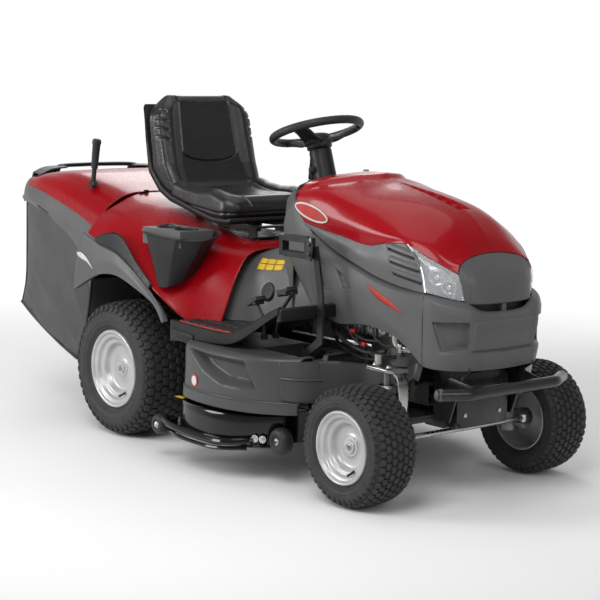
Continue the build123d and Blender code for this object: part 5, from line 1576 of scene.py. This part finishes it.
class MOWER_OT_headlights(bpy.types.Operator):
    """Build the two headlights: lens, bowl, cups and bright trim"""
    bl_idname = "mower.headlights"
    bl_label = "Headlights"

    def execute(self, context):
        return run(self, make_headlights, context.scene.mower_shell)


class MOWER_OT_cowl(bpy.types.Operator):
    """Build the front cowl with its side pockets and flared lip"""
    bl_idname = "mower.cowl"
    bl_label = "Cowl"

    def execute(self, context):
        return run(self, make_cowl, context.scene.mower_shell)


class MOWER_OT_wheels(bpy.types.Operator):
    """Build the four tyres with their tread, the dished rims, nuts and valves"""
    bl_idname = "mower.wheels"
    bl_label = "Wheels"

    def execute(self, context):
        return run(self, make_wheels, context.scene.mower_tyres)


class MOWER_OT_steering(bpy.types.Operator):
    """Build the steering wheel and the sleeve of its column"""
    bl_idname = "mower.steering"
    bl_label = "Steering wheel"

    def execute(self, context):
        return run(self, make_steering, context.scene.mower_shell)


class MOWER_OT_seat(bpy.types.Operator):
    """Build the seat's pads and its shell"""
    bl_idname = "mower.seat"
    bl_label = "Seat"

    def execute(self, context):
        return run(self, make_seat, context.scene.mower_seat)


class MOWER_OT_fender(bpy.types.Operator):
    """Build the painted rear fender, its grey trims and the cup tray"""
    bl_idname = "mower.fender"
    bl_label = "Rear fender"

    def execute(self, context):
        return run(self, make_fender, context.scene.mower_shell)


class MOWER_OT_dash(bpy.types.Operator):
    """Build the sides of the dash, the tunnel cover and its marks"""
    bl_idname = "mower.dash"
    bl_label = "Dash"

    def execute(self, context):
        return run(self, make_dash, context.scene.mower_shell)


class MOWER_OT_catcher(bpy.types.Operator):
    """Build the catcher's lid, rim, trims, bag, piping and handles"""
    bl_idname = "mower.catcher"
    bl_label = "Grass catcher"

    def execute(self, context):
        return run(self, make_catcher, context.scene.mower_shell)


class MOWER_OT_footplates(bpy.types.Operator):
    """Build the footplates, their ribbed mats and edges"""
    bl_idname = "mower.footplates"
    bl_label = "Footplates"

    def execute(self, context):
        return run(self, make_footplates, context.scene.mower_shell)


class MOWER_OT_controls(bpy.types.Operator):
    """Build the pedals, the height lever and the parking lever"""
    bl_idname = "mower.controls"
    bl_label = "Controls"

    def execute(self, context):
        return run(self, make_controls, context.scene.mower_shell)


class MOWER_OT_deck(bpy.types.Operator):
    """Build the deck's covers, pressed shell, guard bars and rollers"""
    bl_idname = "mower.deck"
    bl_label = "Mowing deck"

    def execute(self, context):
        return run(self, make_deck, context.scene.mower_shell)


class MOWER_OT_front_end(bpy.types.Operator):
    """Build the steering plates, bracket top, bumper ends and front axle details"""
    bl_idname = "mower.front_end"
    bl_label = "Front end"

    def execute(self, context):
        return run(self, make_front_end, context.scene.mower_shell)


class MOWER_OT_engine(bpy.types.Operator):
    """Build the engine's visible details, hoses and pipe"""
    bl_idname = "mower.engine"
    bl_label = "Engine"

    def execute(self, context):
        return run(self, make_engine, context.scene.mower_shell)


class MOWER_OT_finishes(bpy.types.Operator):
    """Give the frame's own nodes their finishes"""
    bl_idname = "mower.finishes"
    bl_label = "Frame finishes"

    def execute(self, context):
        return run(self, finish_frame, None)


class MOWER_OT_stage(bpy.types.Operator):
    """Set up the camera, the soft lights and the pale floor"""
    bl_idname = "mower.stage"
    bl_label = "Stage"

    def execute(self, context):
        return run(self, make_stage, context.scene.mower_stage)


OPERATORS = (MOWER_OT_stage, MOWER_OT_finishes, MOWER_OT_hood, MOWER_OT_side_panels, MOWER_OT_nose, MOWER_OT_headlights,
    MOWER_OT_cowl, MOWER_OT_wheels, MOWER_OT_steering, MOWER_OT_seat, MOWER_OT_fender, MOWER_OT_dash, MOWER_OT_catcher,
    MOWER_OT_footplates, MOWER_OT_controls, MOWER_OT_deck, MOWER_OT_front_end, MOWER_OT_engine)


class MOWER_PT_panel(bpy.types.Panel):
    """The mower's groups, in the order that they are built"""
    bl_idname = "MOWER_PT_panel"
    bl_label = "Ride-on mower"
    bl_space_type = "VIEW_3D"
    bl_region_type = "UI"
    bl_category = "Mower"

    def draw(self, context):
        scene = context.scene
        for holder in (scene.mower_paint, scene.mower_shell, scene.mower_tyres, scene.mower_seat, scene.mower_stage):
            for key in holder.bl_rna.properties.keys():
                if key not in ("rna_type", "name"):
                    self.layout.prop(holder, key)
        for item in OPERATORS:
            self.layout.operator(item.bl_idname)


CLASSES = (PaintSettings, ShellSettings, TyreSettings, SeatSettings, StageSettings, *OPERATORS, MOWER_PT_panel)


def register():
    """Registers the settings, the operators and the panel."""
    for item in CLASSES:
        bpy.utils.register_class(item)
    bpy.types.Scene.mower_paint = bpy.props.PointerProperty(type=PaintSettings)
    bpy.types.Scene.mower_shell = bpy.props.PointerProperty(type=ShellSettings)
    bpy.types.Scene.mower_tyres = bpy.props.PointerProperty(type=TyreSettings)
    bpy.types.Scene.mower_seat = bpy.props.PointerProperty(type=SeatSettings)
    bpy.types.Scene.mower_stage = bpy.props.PointerProperty(type=StageSettings)


def unregister():
    """Takes the settings, the operators and the panel away again."""
    del bpy.types.Scene.mower_stage
    del bpy.types.Scene.mower_seat
    del bpy.types.Scene.mower_tyres
    del bpy.types.Scene.mower_shell
    del bpy.types.Scene.mower_paint
    for item in reversed(CLASSES):
        bpy.utils.unregister_class(item)


def main():
    """Builds the whole mower, in order."""
    register()
    bpy.ops.mower.stage()
    bpy.ops.mower.finishes()
    bpy.ops.mower.hood()
    bpy.ops.mower.side_panels()
    bpy.ops.mower.nose()
    bpy.ops.mower.headlights()
    bpy.ops.mower.cowl()
    bpy.ops.mower.wheels()
    bpy.ops.mower.steering()
    bpy.ops.mower.seat()
    bpy.ops.mower.fender()
    bpy.ops.mower.dash()
    bpy.ops.mower.catcher()
    bpy.ops.mower.footplates()
    bpy.ops.mower.controls()
    bpy.ops.mower.deck()
    bpy.ops.mower.front_end()
    bpy.ops.mower.engine()


if __name__ == "__main__":
    main()
